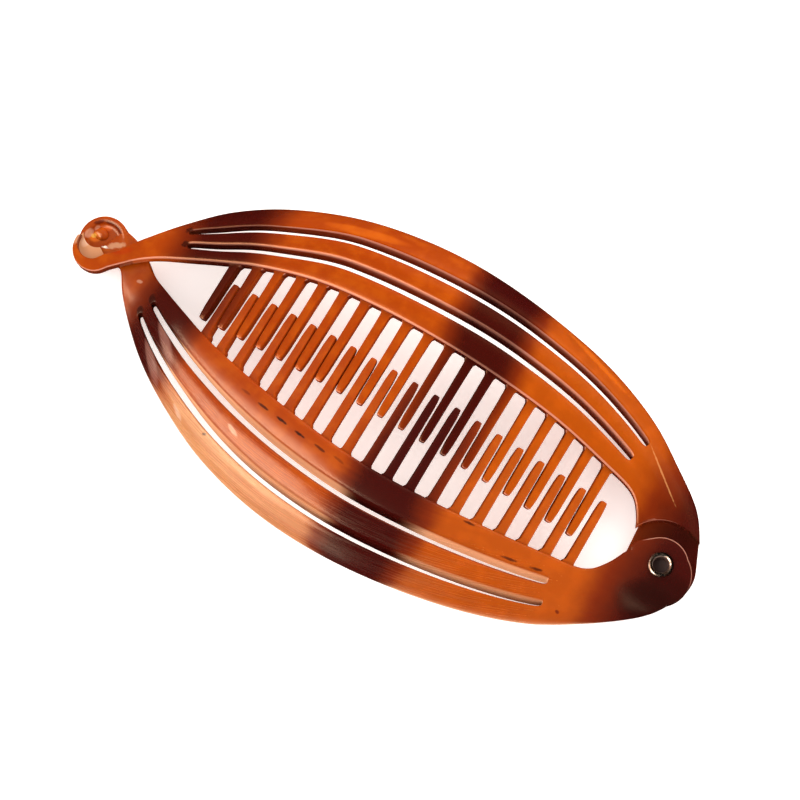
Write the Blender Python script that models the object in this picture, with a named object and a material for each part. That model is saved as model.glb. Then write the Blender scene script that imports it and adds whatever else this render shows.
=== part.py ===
"""A banana hair clip: two bowed, slotted comb arms with interlocking teeth, riveted at one end.

Metres, +Z up. The clip lies closed on its two ends, arched upwards. X runs along it from the clasp to
the rivet, and Y across it: the hook arm is on the +Y side and the knob arm on the -Y side. The tables
are in millimetres, with x counted from the middle of the clasp.
"""

import math
from typing import NamedTuple

import bmesh
import bpy

MM = 0.001

# Whole clip
MIDDLE_X = 64.7  # clasp's middle to the middle of the whole length, which is the origin
GAP = 0.3

# Side view: an arch over two level ends, each end two plates high
END_PLATE = 2.6  # thickness of an arm at its ends, and of each plate there
SPAN_PLATE = 3.2  # thickness of an arm along the arch
THICKENS = (9.0, 21.0)  # between these distances from either end of the arch
LOWER_TOP = 3.0  # top of the lower plate at each end
END_TOP = LOWER_TOP + GAP + END_PLATE
ARCH_RISE = 12.5
ARCH_FROM = 3.0
ARCH_TO = 123.0
ARCH_POWER = 1.4  # over 1, so that the arch leaves its level ends without a crease
RIM_IN = 1.6  # the outer edge's lower corner lies this far in from its upper corner
RIM_DOWN = 1.5
CROWNED_FROM = 4.0  # the ribs are crowned where the arm drops this far outwards, and flat at the ends

# Slots
SLOT_ROUND = 1.1  # radius of a slot's ends
SLOT_END_TURNS = (0.0, 30.0, 60.0, 90.0)

# Teeth
TEETH = 19
PITCH = 4.555
HOOK_TOOTH_X = 28.3  # first tooth of the hook arm
KNOB_TOOTH_X = 30.95  # first tooth of the knob arm, off the middle of the gap as in the closed clip
TOOTH_REACH = 4.6  # how far past the long axis a tooth's tip reaches
TOOTH_ROOT_WIDTH = 1.5
TOOTH_TIP_WIDTH = 1.35
TOOTH_DOWN = 0.75  # top of a tooth below the top of its arm
TOOTH_ROOT_DEPTH = 1.8
TOOTH_TIP_DEPTH = 1.5
TOOTH_BURIED = 1.2  # how far a tooth runs into its arm

# Hinge
RIVET_AT = (128.0, -0.4)
TONGUE_RADIUS = 6.9
STEP_RADIUS = 8.5  # wall of the step from the hook arm down to its tongue
FOOT_AT = (126.6, 5.4)  # the tongue is as wide as a belt round the rivet and this circle
FOOT_RADIUS = 5.9
DISC_RADIUS = 5.25
DISC_RAISE = 0.12  # the disc stands this far above the arm
THROAT_AT = (123.4, 0.1)  # the disc runs on towards the arm's inner edge
THROAT_RADIUS = 1.9
PAD_AT = (128.7, -2.0)  # and bulges towards the arm's outer edge
PAD_RADIUS = 6.0
HOLE_RADIUS = 2.15
SHANK_RADIUS = 1.85
BORE_WIDE = 1.45  # radius of the bore in the rivet's upper end
BORE_BOTTOM = 3.4  # height of the bore's floor
FLANGE_RADIUS = 2.5
FLANGE_THICK = 0.45
FLANGE_GAP = 0.1
COUNTERBORE_RADIUS = 3.0
COUNTERBORE_DEPTH = 0.85

# Clasp
HOOK_AT = (0.2, -1.7)
HOOK_RADIUS = 4.95
BORE_AT = (-0.9, -1.3)  # the hook's bar is thinnest at its tip
BORE_RADIUS = 3.35
HOOK_TURNS = (190.0, 206.0, 222.0, 240.0, 258.0, 276.0, 292.0, 308.0)  # from the tip round to the neck
CUP_FLOOR = 0.9
CUP_TURNS = (196.0, 340.0)
CUP_EDGE_AT = (-1.7, 0.5)  # the cup's floor ends in a round edge, over the knob
CUP_EDGE_RADIUS = 3.1
CUP_EDGE_TURNS = (-40.0, -150.0)
KNOB_AT = (-0.5, 0.6)
KNOB_RADIUS = 5.0
KNOB_RIM = 1.7
KNOB_HOLLOW = 1.0
KNOB_BOSS_AT = (-1.9, 1.6)
KNOB_BOSS_RADIUS = 1.2
TAIL_DOWN = END_PLATE + GAP + 0.1  # the knob arm's end runs this far under the hook arm's neck
TAIL_FROM = 25.0
TAIL_TO = 12.0


class Section(NamedTuple):
    """One cut across an arm in plan, from the edge by the teeth to the edge away from them."""

    inner_x: float
    inner_y: float
    outer_x: float
    outer_y: float
    drop: float  # how far the outer edge lies below the inner one


class Column(NamedTuple):
    """One line that runs along an arm's top."""

    across: float  # share of the arm's width, from the inner edge
    drop: float  # share of the section's drop
    crown: float  # height above the flat, as a share of the arm's width


HOOK_NECK = (
    Section(4.2, -4.6, 2.1, -2.3, 0.0),
    Section(6.3, -2.6, 4.3, -0.3, 0.0),
    Section(9.0, -0.3, 6.3, 2.8, 0.3),
    Section(12.8, 2.0, 9.4, 7.0, 1.3),
)
HOOK_SPAN = (
    Section(18.1, 4.3, 13.9, 12.1, 3.0),
    Section(25.8, 7.1, 20.3, 18.0, 4.4),
    Section(34.0, 9.6, 30.0, 23.4, 5.3),
    Section(46.0, 12.3, 43.3, 27.9, 5.9),
    Section(59.0, 13.5, 57.0, 30.9, 6.2),
    Section(72.0, 13.7, 71.0, 32.2, 6.2),
    Section(85.0, 13.3, 86.0, 31.3, 6.0),
    Section(98.0, 12.5, 100.6, 28.0, 5.4),
    Section(109.4, 10.5, 112.7, 23.7, 4.6),
    Section(116.4, 8.7, 121.3, 18.2, 3.4),
    Section(119.6, 5.2, 128.7, 12.3, 2.0),
    Section(121.0, 1.6, 132.8, 6.4, 1.0),
)
KNOB_TAIL = (
    Section(2.1, 4.7, -0.4, -2.0, 0.0),
    Section(5.8, 3.9, 2.6, -2.6, 0.0),
    Section(10.4, 1.3, 6.2, -2.7, 0.0),
    Section(13.2, -0.7, 9.2, -6.3, 0.6),
)
KNOB_SPAN = (
    Section(17.8, -2.6, 13.8, -11.0, 2.2),
    Section(24.5, -5.1, 20.5, -16.2, 3.9),
    Section(33.0, -7.9, 30.0, -22.0, 5.2),
    Section(45.0, -10.6, 42.5, -27.8, 6.0),
    Section(58.0, -12.7, 56.5, -31.6, 6.2),
    Section(71.0, -13.8, 70.5, -31.9, 6.2),
    Section(84.0, -13.2, 84.5, -30.2, 6.0),
    Section(97.0, -11.7, 99.0, -27.3, 5.4),
    Section(108.5, -9.9, 111.5, -22.7, 4.6),
    Section(116.0, -8.4, 121.1, -17.3, 3.2),
    Section(119.3, -5.0, 127.6, -12.6, 2.0),
    Section(121.2, -1.2, 131.5, -8.9, 0.9),
    Section(122.9, 0.8, 133.7, -5.0, 0.3),
)

# The top's lines in order: a rib, a slot, a rib, a slot and the outer rib, which is the sloping flank
COLUMNS = (
    Column(0.0, 0.0, 0.0),
    Column(0.15, 0.0, 0.016),
    Column(0.30, 0.03, 0.0),
    Column(0.41, 0.06, 0.0),
    Column(0.52, 0.10, 0.010),
    Column(0.63, 0.17, 0.0),
    Column(0.735, 0.24, 0.0),
    Column(0.87, 0.58, 0.026),
    Column(1.0, 1.0, 0.0),
)
SLOTS = ((2, 3), (5, 6))
OUTER_RIB = 6


def arch_height(x: float) -> float:
    """Height of an arm's inner top edge at x, in millimetres."""
    share = min(max((x - ARCH_FROM) / (ARCH_TO - ARCH_FROM), 0.0), 1.0)
    return END_TOP + ARCH_RISE * math.sin(math.pi * share) ** ARCH_POWER


def eased(share: float) -> float:
    """A smooth step from 0 to 1."""
    share = min(max(share, 0.0), 1.0)
    return share * share * (3 - 2 * share)


def thickness(x: float) -> float:
    """Thickness of an arm at x."""
    from_end = min(x - ARCH_FROM, ARCH_TO - x)
    share = (from_end - THICKENS[0] + ARCH_FROM) / (THICKENS[1] - THICKENS[0])
    return END_PLATE + (SPAN_PLATE - END_PLATE) * eased(share)


def tail_drop(x: float) -> float:
    """How far the knob arm's end lies below the arch, to pass under the hook arm."""
    return TAIL_DOWN * eased((TAIL_FROM - x) / (TAIL_FROM - TAIL_TO))


def no_drop(x: float) -> float:
    """The hook arm follows the arch all along."""
    return 0.0


def section_at(sections, place: float) -> Section:
    """The section at a place between the listed ones, on a smooth curve through them."""
    last = len(sections) - 1
    k = min(int(place), last - 1)
    t = place - k
    before, a, b, after = (sections[min(max(k + i, 0), last)] for i in (-1, 0, 1, 2))
    return Section(
        *(
            0.5 * (2 * q + (r - p) * t + (2 * p - 5 * q + 4 * r - s) * t**2 + (3 * q - p - 3 * r + s) * t**3)
            for p, q, r, s in zip(before, a, b, after)
        )
    )


def millimetres_per_place(sections, place: float) -> float:
    """Length of arm in one step of place, measured along the middle of the arm."""
    step = 0.01
    a, b = section_at(sections, place - step), section_at(sections, place + step)
    along_x = (b.inner_x + b.outer_x - a.inner_x - a.outer_x) / 2
    along_y = (b.inner_y + b.outer_y - a.inner_y - a.outer_y) / 2
    return math.hypot(along_x, along_y) / (2 * step)


def stations(sections, first: int, last: float, spacing: float):
    """Places of the sections that are drawn, and the share that the slots are open at each.

    The slots run from place first to place last. Extra stations turn their ends round.
    """
    found = {}
    for k in range(len(sections) - 1):
        count = max(1, round(millimetres_per_place(sections, k + 0.5) / spacing))
        for i in range(count):
            place = k + i / count
            found[place] = 1.0 if first < place < last else 0.0
    found[float(len(sections) - 1)] = 0.0
    for end, way in ((first, 1), (last, -1)):
        reach = SLOT_ROUND / millimetres_per_place(sections, end)
        for place in list(found):
            if -0.6 * reach < (place - end) * way < 1.6 * reach:
                del found[place]
        for turn in SLOT_END_TURNS:
            share = 1 - math.cos(math.radians(turn))
            found[end + way * reach * share] = math.sin(math.radians(turn))
    return sorted(found.items())


def top_points(section: Section, opened: float, extra_drop) -> list:
    """The points of one section's top, one for each column. A closed slot's two lines meet."""
    width = math.hypot(section.outer_x - section.inner_x, section.outer_y - section.inner_y)
    roundness = width * min(max(section.drop, 0.0) / CROWNED_FROM, 1.0)
    shares = [list(column) for column in COLUMNS]
    for near, far in SLOTS:
        for i in range(3):
            middle = (COLUMNS[near][i] + COLUMNS[far][i]) / 2
            shares[near][i] = middle + (COLUMNS[near][i] - middle) * opened
            shares[far][i] = middle + (COLUMNS[far][i] - middle) * opened
    points = []
    for across, drop, crown in shares:
        x = section.inner_x + (section.outer_x - section.inner_x) * across
        y = section.inner_y + (section.outer_y - section.inner_y) * across
        z = arch_height(x) - extra_drop(x) - section.drop * drop + crown * roundness
        points.append((x, y, z))
    return points


def under_point(section: Section, index: int, top) -> tuple:
    """The underside's point below a top point, square to the flank on the outer rib."""
    width = math.hypot(section.outer_x - section.inner_x, section.outer_y - section.inner_y)
    slope = min(section.drop / width * 3, 1.0)
    lean = max(0.0, (COLUMNS[index].across - COLUMNS[OUTER_RIB].across) / (1 - COLUMNS[OUTER_RIB].across))
    inward = RIM_IN * lean * slope / width
    x = top[0] - (section.outer_x - section.inner_x) * inward
    y = top[1] - (section.outer_y - section.inner_y) * inward
    plate = thickness(top[0])
    return x, y, top[2] - plate + (plate - RIM_DOWN) * lean * slope


def arm_mesh(sections, first: int, last: float, extra_drop, spacing: float):
    """A closed mesh of one arm without its teeth: sections bridged along the arm, with open slots."""
    mesh = bmesh.new()
    count = len(COLUMNS)
    slot_lines = {line: pair for pair in SLOTS for line in pair}
    rings = []
    for place, opened in stations(sections, first, last, spacing):
        section = section_at(sections, place)
        tops = top_points(section, opened, extra_drop)
        upper, lower = [], []
        for i, top in enumerate(tops):
            if i in slot_lines and i == slot_lines[i][1] and opened == 0.0:
                upper.append(upper[-1])
                lower.append(lower[-1])
                continue
            upper.append(mesh.verts.new(top))
            lower.append(mesh.verts.new(under_point(section, i, top)))
        rings.append((upper, lower))

    def quad(*corners):
        kept = []
        for vert in corners:
            if vert not in kept:
                kept.append(vert)
        if len(kept) > 2:
            mesh.faces.new(kept)

    for (upper_a, lower_a), (upper_b, lower_b) in zip(rings, rings[1:]):
        quad(upper_a[0], lower_a[0], lower_b[0], upper_b[0])
        quad(upper_b[-1], lower_b[-1], lower_a[-1], upper_a[-1])
        for i in range(count - 1):
            if (i, i + 1) not in SLOTS:
                quad(upper_a[i], upper_b[i], upper_b[i + 1], upper_a[i + 1])
                quad(lower_a[i + 1], lower_b[i + 1], lower_b[i], lower_a[i])
                continue
            if upper_a[i] is upper_a[i + 1] and upper_b[i] is upper_b[i + 1]:
                continue
            quad(upper_a[i], upper_b[i], lower_b[i], lower_a[i])
            quad(lower_a[i + 1], lower_b[i + 1], upper_b[i + 1], upper_a[i + 1])
    for (upper, lower), order in ((rings[0], 1), (rings[-1], -1)):
        ring = [v for i, v in enumerate(upper) if v not in upper[:i]]
        ring += [v for i, v in reversed(list(enumerate(lower))) if v not in lower[:i]]
        mesh.faces.new(ring[::order])
    bmesh.ops.triangulate(mesh, faces=[face for face in mesh.faces if len(face.verts) > 4])
    bmesh.ops.recalc_face_normals(mesh, faces=mesh.faces)
    return mesh


def inner_edge_y(sections, x: float) -> float:
    """Where the arm's inner edge lies across the clip at x."""
    low, high = 0.0, len(sections) - 1.0
    for _ in range(40):
        middle = (low + high) / 2
        if section_at(sections, middle).inner_x < x:
            low = middle
        else:
            high = middle
    return section_at(sections, low).inner_y


def teeth_mesh(sections, first_x: float, side: int):
    """All the teeth of one arm: tapered bars with rounded tips, square to the long axis."""
    mesh = bmesh.new()
    for number in range(TEETH):
        x = first_x + PITCH * number
        root = inner_edge_y(sections, x) + side * TOOTH_BURIED
        tip = -side * TOOTH_REACH
        near_tip = tip + side * TOOTH_TIP_WIDTH * 0.45
        outline = (
            (root, TOOTH_ROOT_WIDTH, TOOTH_ROOT_DEPTH, 0.0),
            (near_tip, TOOTH_TIP_WIDTH, TOOTH_TIP_DEPTH, 0.0),
            (tip, TOOTH_TIP_WIDTH * 0.45, TOOTH_TIP_DEPTH * 0.6, TOOTH_TIP_DEPTH * 0.2),
        )
        rings = []
        for y, width, depth, lowered in outline:
            ring = []
            for over, under in ((-0.5, 0.0), (0.5, 0.0), (0.5, 1.0), (-0.5, 1.0)):
                corner_x = x + width * over
                z = arch_height(corner_x) - TOOTH_DOWN - lowered - depth * under
                ring.append(mesh.verts.new((corner_x, y, z)))
            rings.append(ring)
        for a, b in zip(rings, rings[1:]):
            for i in range(4):
                j = (i + 1) % 4
                mesh.faces.new((a[i], a[j], b[j], b[i]))
        mesh.faces.new(rings[0])
        mesh.faces.new(rings[-1][::-1])
    bmesh.ops.recalc_face_normals(mesh, faces=mesh.faces)
    return mesh


def arc_points(centre, radius: float, start: float, end: float, steps: int):
    """Points on an arc, from start to end degrees."""
    turns = (math.radians(start + (end - start) * i / steps) for i in range(steps + 1))
    return [(centre[0] + radius * math.cos(t), centre[1] + radius * math.sin(t)) for t in turns]


def plate_mesh(outline, low: float, high: float):
    """A flat plate: an outline in plan, extruded from low to high."""
    mesh = bmesh.new()
    base = mesh.faces.new([mesh.verts.new((x, y, low)) for x, y in outline])
    grown = bmesh.ops.extrude_face_region(mesh, geom=[base])["geom"]
    top = [item for item in grown if isinstance(item, bmesh.types.BMVert)]
    bmesh.ops.translate(mesh, verts=top, vec=(0, 0, high - low))
    bmesh.ops.recalc_face_normals(mesh, faces=mesh.faces)
    return mesh


def round_plate(centre, radius: float, low: float, high: float, sides: int = 48):
    """A round plate or a round cutter."""
    return plate_mesh(arc_points(centre, radius, 0, 360, sides)[:-1], low, high)


def wrapped_outline(a, radius_a: float, b, radius_b: float, steps: int):
    """The outline of a belt round two circles."""
    heading = math.degrees(math.atan2(b[1] - a[1], b[0] - a[0]))
    lean = math.degrees(math.acos((radius_a - radius_b) / math.dist(a, b)))
    return arc_points(a, radius_a, heading + lean, heading + 360 - lean, steps) + arc_points(
        b, radius_b, heading - lean, heading + lean, steps
    )


def turned_mesh(profile, centre, steps: int = 40):
    """A profile of radius and height, spun round the upright axis that it starts and ends on."""
    mesh = bmesh.new()
    verts = [mesh.verts.new((centre[0] + r, centre[1], z)) for r, z in profile]
    edges = [mesh.edges.new((a, b)) for a, b in zip(verts, verts[1:])]
    bmesh.ops.spin(
        mesh,
        geom=verts + edges,
        cent=(centre[0], centre[1], 0),
        axis=(0, 0, 1),
        angle=2 * math.pi,
        steps=steps,
        use_merge=True,
    )
    bmesh.ops.remove_doubles(mesh, verts=mesh.verts, dist=0.0001)
    bmesh.ops.recalc_face_normals(mesh, faces=mesh.faces)
    return mesh


def new_object(name: str, mesh, parent, is_helper: bool = False):
    """An object from a mesh in millimetres counted from the clasp, with its origin at its parent."""
    origin_x = parent.location.x / MM + MIDDLE_X
    origin_y = parent.location.y / MM
    for vert in mesh.verts:
        vert.co = ((vert.co.x - origin_x) * MM, (vert.co.y - origin_y) * MM, vert.co.z * MM)
    data = bpy.data.meshes.new(name)
    mesh.to_mesh(data)
    mesh.free()
    thing = bpy.data.objects.new(name, data)
    bpy.context.scene.collection.objects.link(thing)
    thing.parent = parent
    if is_helper:
        thing.hide_render = True
        thing.display_type = "WIRE"
    return thing


def boolean(thing, helper, operation: str):
    """Joins the helper to the thing, or cuts it out."""
    modifier = thing.modifiers.new(helper.name, "BOOLEAN")
    modifier.operation = operation
    modifier.object = helper


def empty(name: str, x: float, y: float):
    """An empty, its place in millimetres from the clip's middle."""
    marker = bpy.data.objects.new(name, None)
    marker.location = (x * MM, y * MM, 0)
    bpy.context.scene.collection.objects.link(marker)
    return marker


def material(name: str, colour, roughness: float, metallic: float, transmission: float = 0.0):
    """A plain Principled material."""
    made = bpy.data.materials.new(name)
    made.use_nodes = True
    shader = made.node_tree.nodes["Principled BSDF"]
    shader.inputs["Base Color"].default_value = (*colour, 1)
    shader.inputs["Roughness"].default_value = roughness
    shader.inputs["Metallic"].default_value = metallic
    shader.inputs["Transmission Weight"].default_value = transmission
    return made


def finish(thing, finish_material):
    """Smooth shading with sharp creases, and the material."""
    thing.data.materials.append(finish_material)
    thing.data.shade_smooth()
    thing.data.set_sharp_from_angle(angle=math.radians(35))


def hook_sections():
    """The hook arm's sections: round the hook, along the neck and down the arm."""
    round_hook = []
    for turn in HOOK_TURNS:
        rim = arc_points(HOOK_AT, HOOK_RADIUS, turn, turn, 1)[0]
        bore = arc_points(BORE_AT, BORE_RADIUS, turn, turn, 1)[0]
        round_hook.append(Section(*rim, *bore, 0.0))
    return (*round_hook, *HOOK_NECK, *HOOK_SPAN)


def make_hook_arm(clip, plastic):
    """The arm with the hook, and with the tongue that the rivet holds from below."""
    sections = hook_sections()
    first = len(sections) - len(HOOK_SPAN)
    last = first + len(HOOK_SPAN) - 4 + 0.35
    arm = new_object("hook_arm", arm_mesh(sections, first - 0.2, last, no_drop, 3.6), clip)

    teeth = teeth_mesh(sections[first - 2:], HOOK_TOOTH_X, 1)
    boolean(arm, new_object("hook_arm_teeth", teeth, clip, True), "UNION")
    cup = arc_points(BORE_AT, BORE_RADIUS + 0.4, *CUP_TURNS, 14)
    cup += arc_points(CUP_EDGE_AT, CUP_EDGE_RADIUS, *CUP_EDGE_TURNS, 12)
    floor = plate_mesh(cup, LOWER_TOP + GAP + 0.05, LOWER_TOP + GAP + CUP_FLOOR)
    boolean(arm, new_object("hook_arm_cup", floor, clip, True), "UNION")
    belt = wrapped_outline(RIVET_AT, TONGUE_RADIUS, FOOT_AT, FOOT_RADIUS, 16)
    foot = plate_mesh(belt, 0.0, LOWER_TOP + 1.2)
    boolean(arm, new_object("hook_arm_foot", foot, clip, True), "UNION")
    step = round_plate(RIVET_AT, STEP_RADIUS, LOWER_TOP, END_TOP + 3)
    boolean(arm, new_object("cut_hook_arm_step", step, clip, True), "DIFFERENCE")
    hole = round_plate(RIVET_AT, HOLE_RADIUS, -1.0, END_TOP, 32)
    boolean(arm, new_object("cut_hook_arm_hole", hole, clip, True), "DIFFERENCE")
    seat = round_plate(RIVET_AT, COUNTERBORE_RADIUS, -1.0, COUNTERBORE_DEPTH, 32)
    boolean(arm, new_object("cut_hook_arm_seat", seat, clip, True), "DIFFERENCE")
    finish(arm, plastic)


def make_knob_arm(hinge, plastic):
    """The arm with the knob, and with the disc that the rivet holds from above."""
    sections = (*KNOB_TAIL, *KNOB_SPAN)
    first = len(KNOB_TAIL)
    last = first + len(KNOB_SPAN) - 5 + 0.2
    arm = new_object("knob_arm", arm_mesh(sections, first - 0.15, last, tail_drop, 3.6), hinge)

    teeth = teeth_mesh(sections[first - 1:], KNOB_TOOTH_X, -1)
    boolean(arm, new_object("knob_arm_teeth", teeth, hinge, True), "UNION")
    under = round_plate(RIVET_AT, STEP_RADIUS + GAP, -1.0, LOWER_TOP + GAP)
    boolean(arm, new_object("cut_knob_arm_under", under, hinge, True), "DIFFERENCE")
    disc_top = END_TOP + DISC_RAISE
    belt = wrapped_outline(RIVET_AT, DISC_RADIUS, THROAT_AT, THROAT_RADIUS, 20)
    disc = plate_mesh(belt, LOWER_TOP + GAP, disc_top)
    boolean(arm, new_object("knob_arm_disc", disc, hinge, True), "UNION")
    pad = round_plate(PAD_AT, PAD_RADIUS, LOWER_TOP + GAP, disc_top)
    boolean(arm, new_object("knob_arm_pad", pad, hinge, True), "UNION")
    knob = round_plate(KNOB_AT, KNOB_RADIUS, 0.0, LOWER_TOP)
    boolean(arm, new_object("knob_arm_knob", knob, hinge, True), "UNION")
    hollow = round_plate(KNOB_AT, KNOB_RADIUS - KNOB_RIM, LOWER_TOP - KNOB_HOLLOW, END_TOP, 32)
    boolean(arm, new_object("cut_knob_arm_hollow", hollow, hinge, True), "DIFFERENCE")
    boss = round_plate(KNOB_BOSS_AT, KNOB_BOSS_RADIUS, LOWER_TOP - 2 * KNOB_HOLLOW, LOWER_TOP - 0.1, 20)
    boolean(arm, new_object("knob_arm_boss", boss, hinge, True), "UNION")
    hole = round_plate(RIVET_AT, HOLE_RADIUS, -1.0, END_TOP + 3, 32)
    boolean(arm, new_object("cut_knob_arm_hole", hole, hinge, True), "DIFFERENCE")
    finish(arm, plastic)


def make_rivet(clip, metal):
    """The rivet that holds the two arms together: a head below, and a hollow end flared over on top."""
    low = COUNTERBORE_DEPTH - FLANGE_GAP
    high = END_TOP + DISC_RAISE + FLANGE_GAP
    lip = FLANGE_THICK * 0.35
    profile = (
        (0.0, low - FLANGE_THICK),
        (FLANGE_RADIUS - lip, low - FLANGE_THICK),
        (FLANGE_RADIUS, low - FLANGE_THICK + lip),
        (FLANGE_RADIUS, low),
        (SHANK_RADIUS, low),
        (SHANK_RADIUS, high),
        (FLANGE_RADIUS, high),
        (FLANGE_RADIUS, high + FLANGE_THICK - lip),
        (FLANGE_RADIUS - lip, high + FLANGE_THICK),
        (BORE_WIDE + lip, high + FLANGE_THICK),
        (BORE_WIDE, high + FLANGE_THICK - lip),
        (BORE_WIDE, BORE_BOTTOM),
        (0.0, BORE_BOTTOM),
    )
    rivet = new_object("hinge_rivet", turned_mesh(profile, RIVET_AT), clip)
    finish(rivet, metal)


def main():
    """Clears the scene and makes the clip."""
    for thing in list(bpy.data.objects):
        bpy.data.objects.remove(thing, do_unlink=True)
    plastic = material("tortoiseshell_plastic", (0.58, 0.15, 0.012), 0.12, 0.0, 0.3)
    metal = material("rivet_metal", (0.62, 0.5, 0.36), 0.22, 1.0)
    clip = empty("clip", 0.0, 0.0)
    hinge = empty("hinge_axis", RIVET_AT[0] - MIDDLE_X, RIVET_AT[1])
    make_hook_arm(clip, plastic)
    make_knob_arm(hinge, plastic)
    make_rivet(clip, metal)


main()
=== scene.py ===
"""A banana hair clip in polished tortoiseshell plastic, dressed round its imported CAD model.

Lengths in the tables are millimetres in the clip's plan: x runs from the middle of the clasp to the
rivet, y across the clip towards the hook arm, and z up. Meshes are in metres in the CAD's own frame.
"""

import logging
import math
from collections.abc import Callable, Iterator
from contextlib import contextmanager
from dataclasses import dataclass, field
from enum import Enum
from typing import NamedTuple

import bmesh
import bpy
from mathutils import Matrix, Vector

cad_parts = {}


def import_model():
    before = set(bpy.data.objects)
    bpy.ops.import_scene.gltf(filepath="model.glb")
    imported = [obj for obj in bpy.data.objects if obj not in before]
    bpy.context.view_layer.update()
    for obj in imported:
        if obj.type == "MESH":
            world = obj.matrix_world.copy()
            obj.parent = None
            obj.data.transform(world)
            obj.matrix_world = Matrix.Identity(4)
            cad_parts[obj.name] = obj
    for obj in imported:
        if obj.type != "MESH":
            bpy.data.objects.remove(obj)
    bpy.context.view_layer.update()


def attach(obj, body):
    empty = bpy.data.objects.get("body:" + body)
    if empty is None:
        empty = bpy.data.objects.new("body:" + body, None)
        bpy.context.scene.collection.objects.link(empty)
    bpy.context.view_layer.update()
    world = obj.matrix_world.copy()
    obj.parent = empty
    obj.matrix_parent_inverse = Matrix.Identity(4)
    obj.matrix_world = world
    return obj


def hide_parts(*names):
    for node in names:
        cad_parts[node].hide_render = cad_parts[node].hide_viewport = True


LOG = logging.getLogger("banana_clip")
MM = 0.001
MIDDLE_X = 64.7
GAP = 0.3
LOWER_TOP = 3.0
RIVET_AT = (128.0, -0.4)
MERGE_WITHIN = 0.000002  # metres
APART = 0.02  # surfaces that would else lie at one height are set this far apart
SLOT_END_TURNS = (0.0, 30.0, 60.0, 90.0)
GIVES_WAY = (-0.6, 1.5)  # stations this near a slot's end, in its radius, go before the round end is set
SHIFT_FADES = (0.28, 0.27)  # shares of the width over which a shift of the slots fades to the edges

Thing = bpy.types.Object
Point = tuple[float, float]
Colour = tuple[float, float, float]
BLACK = (0.0, 0.0, 0.0)


def metres(x: float, y: float, z: float) -> Vector:
    """A point of the plan, in millimetres, as a place in the CAD's frame."""
    return Vector(((x - MIDDLE_X) * MM, y * MM, z * MM))


def eased(share: float) -> float:
    """A smooth step from 0 to 1."""
    share = min(max(share, 0.0), 1.0)
    return share * share * (3 - 2 * share)


class Section(NamedTuple):
    """One cut across an arm in plan.

    Attributes:
        inner_x: where the edge by the teeth lies along the clip.
        inner_y: and across it.
        outer_x: where the edge away from the teeth lies along the clip.
        outer_y: and across it.
        drop: how far the outer edge lies below the inner one.
    """

    inner_x: float
    inner_y: float
    outer_x: float
    outer_y: float
    drop: float


class Column(NamedTuple):
    """One line that runs along an arm's top.

    Attributes:
        across: its share of the way from the inner edge to the outer one.
        drop: its share of the outer edge's drop.
        crown: how far it stands over the straight cut, as a share of the width.
    """

    across: float
    drop: float
    crown: float


class Row(NamedTuple):
    """One station along an arm.

    Attributes:
        place: where it lies among the sections, 1 for each step from one to the next.
        opened: how far the slots are open there, from 0 to 1.
    """

    place: float
    opened: float


class Pick(Enum):
    """What is selected in edit mode."""

    POINTS = "VERT"
    EDGES = "EDGE"
    FACES = "FACE"


class Joining(Enum):
    """How one solid acts on another."""

    ADD = "UNION"
    CUT = "DIFFERENCE"


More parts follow.
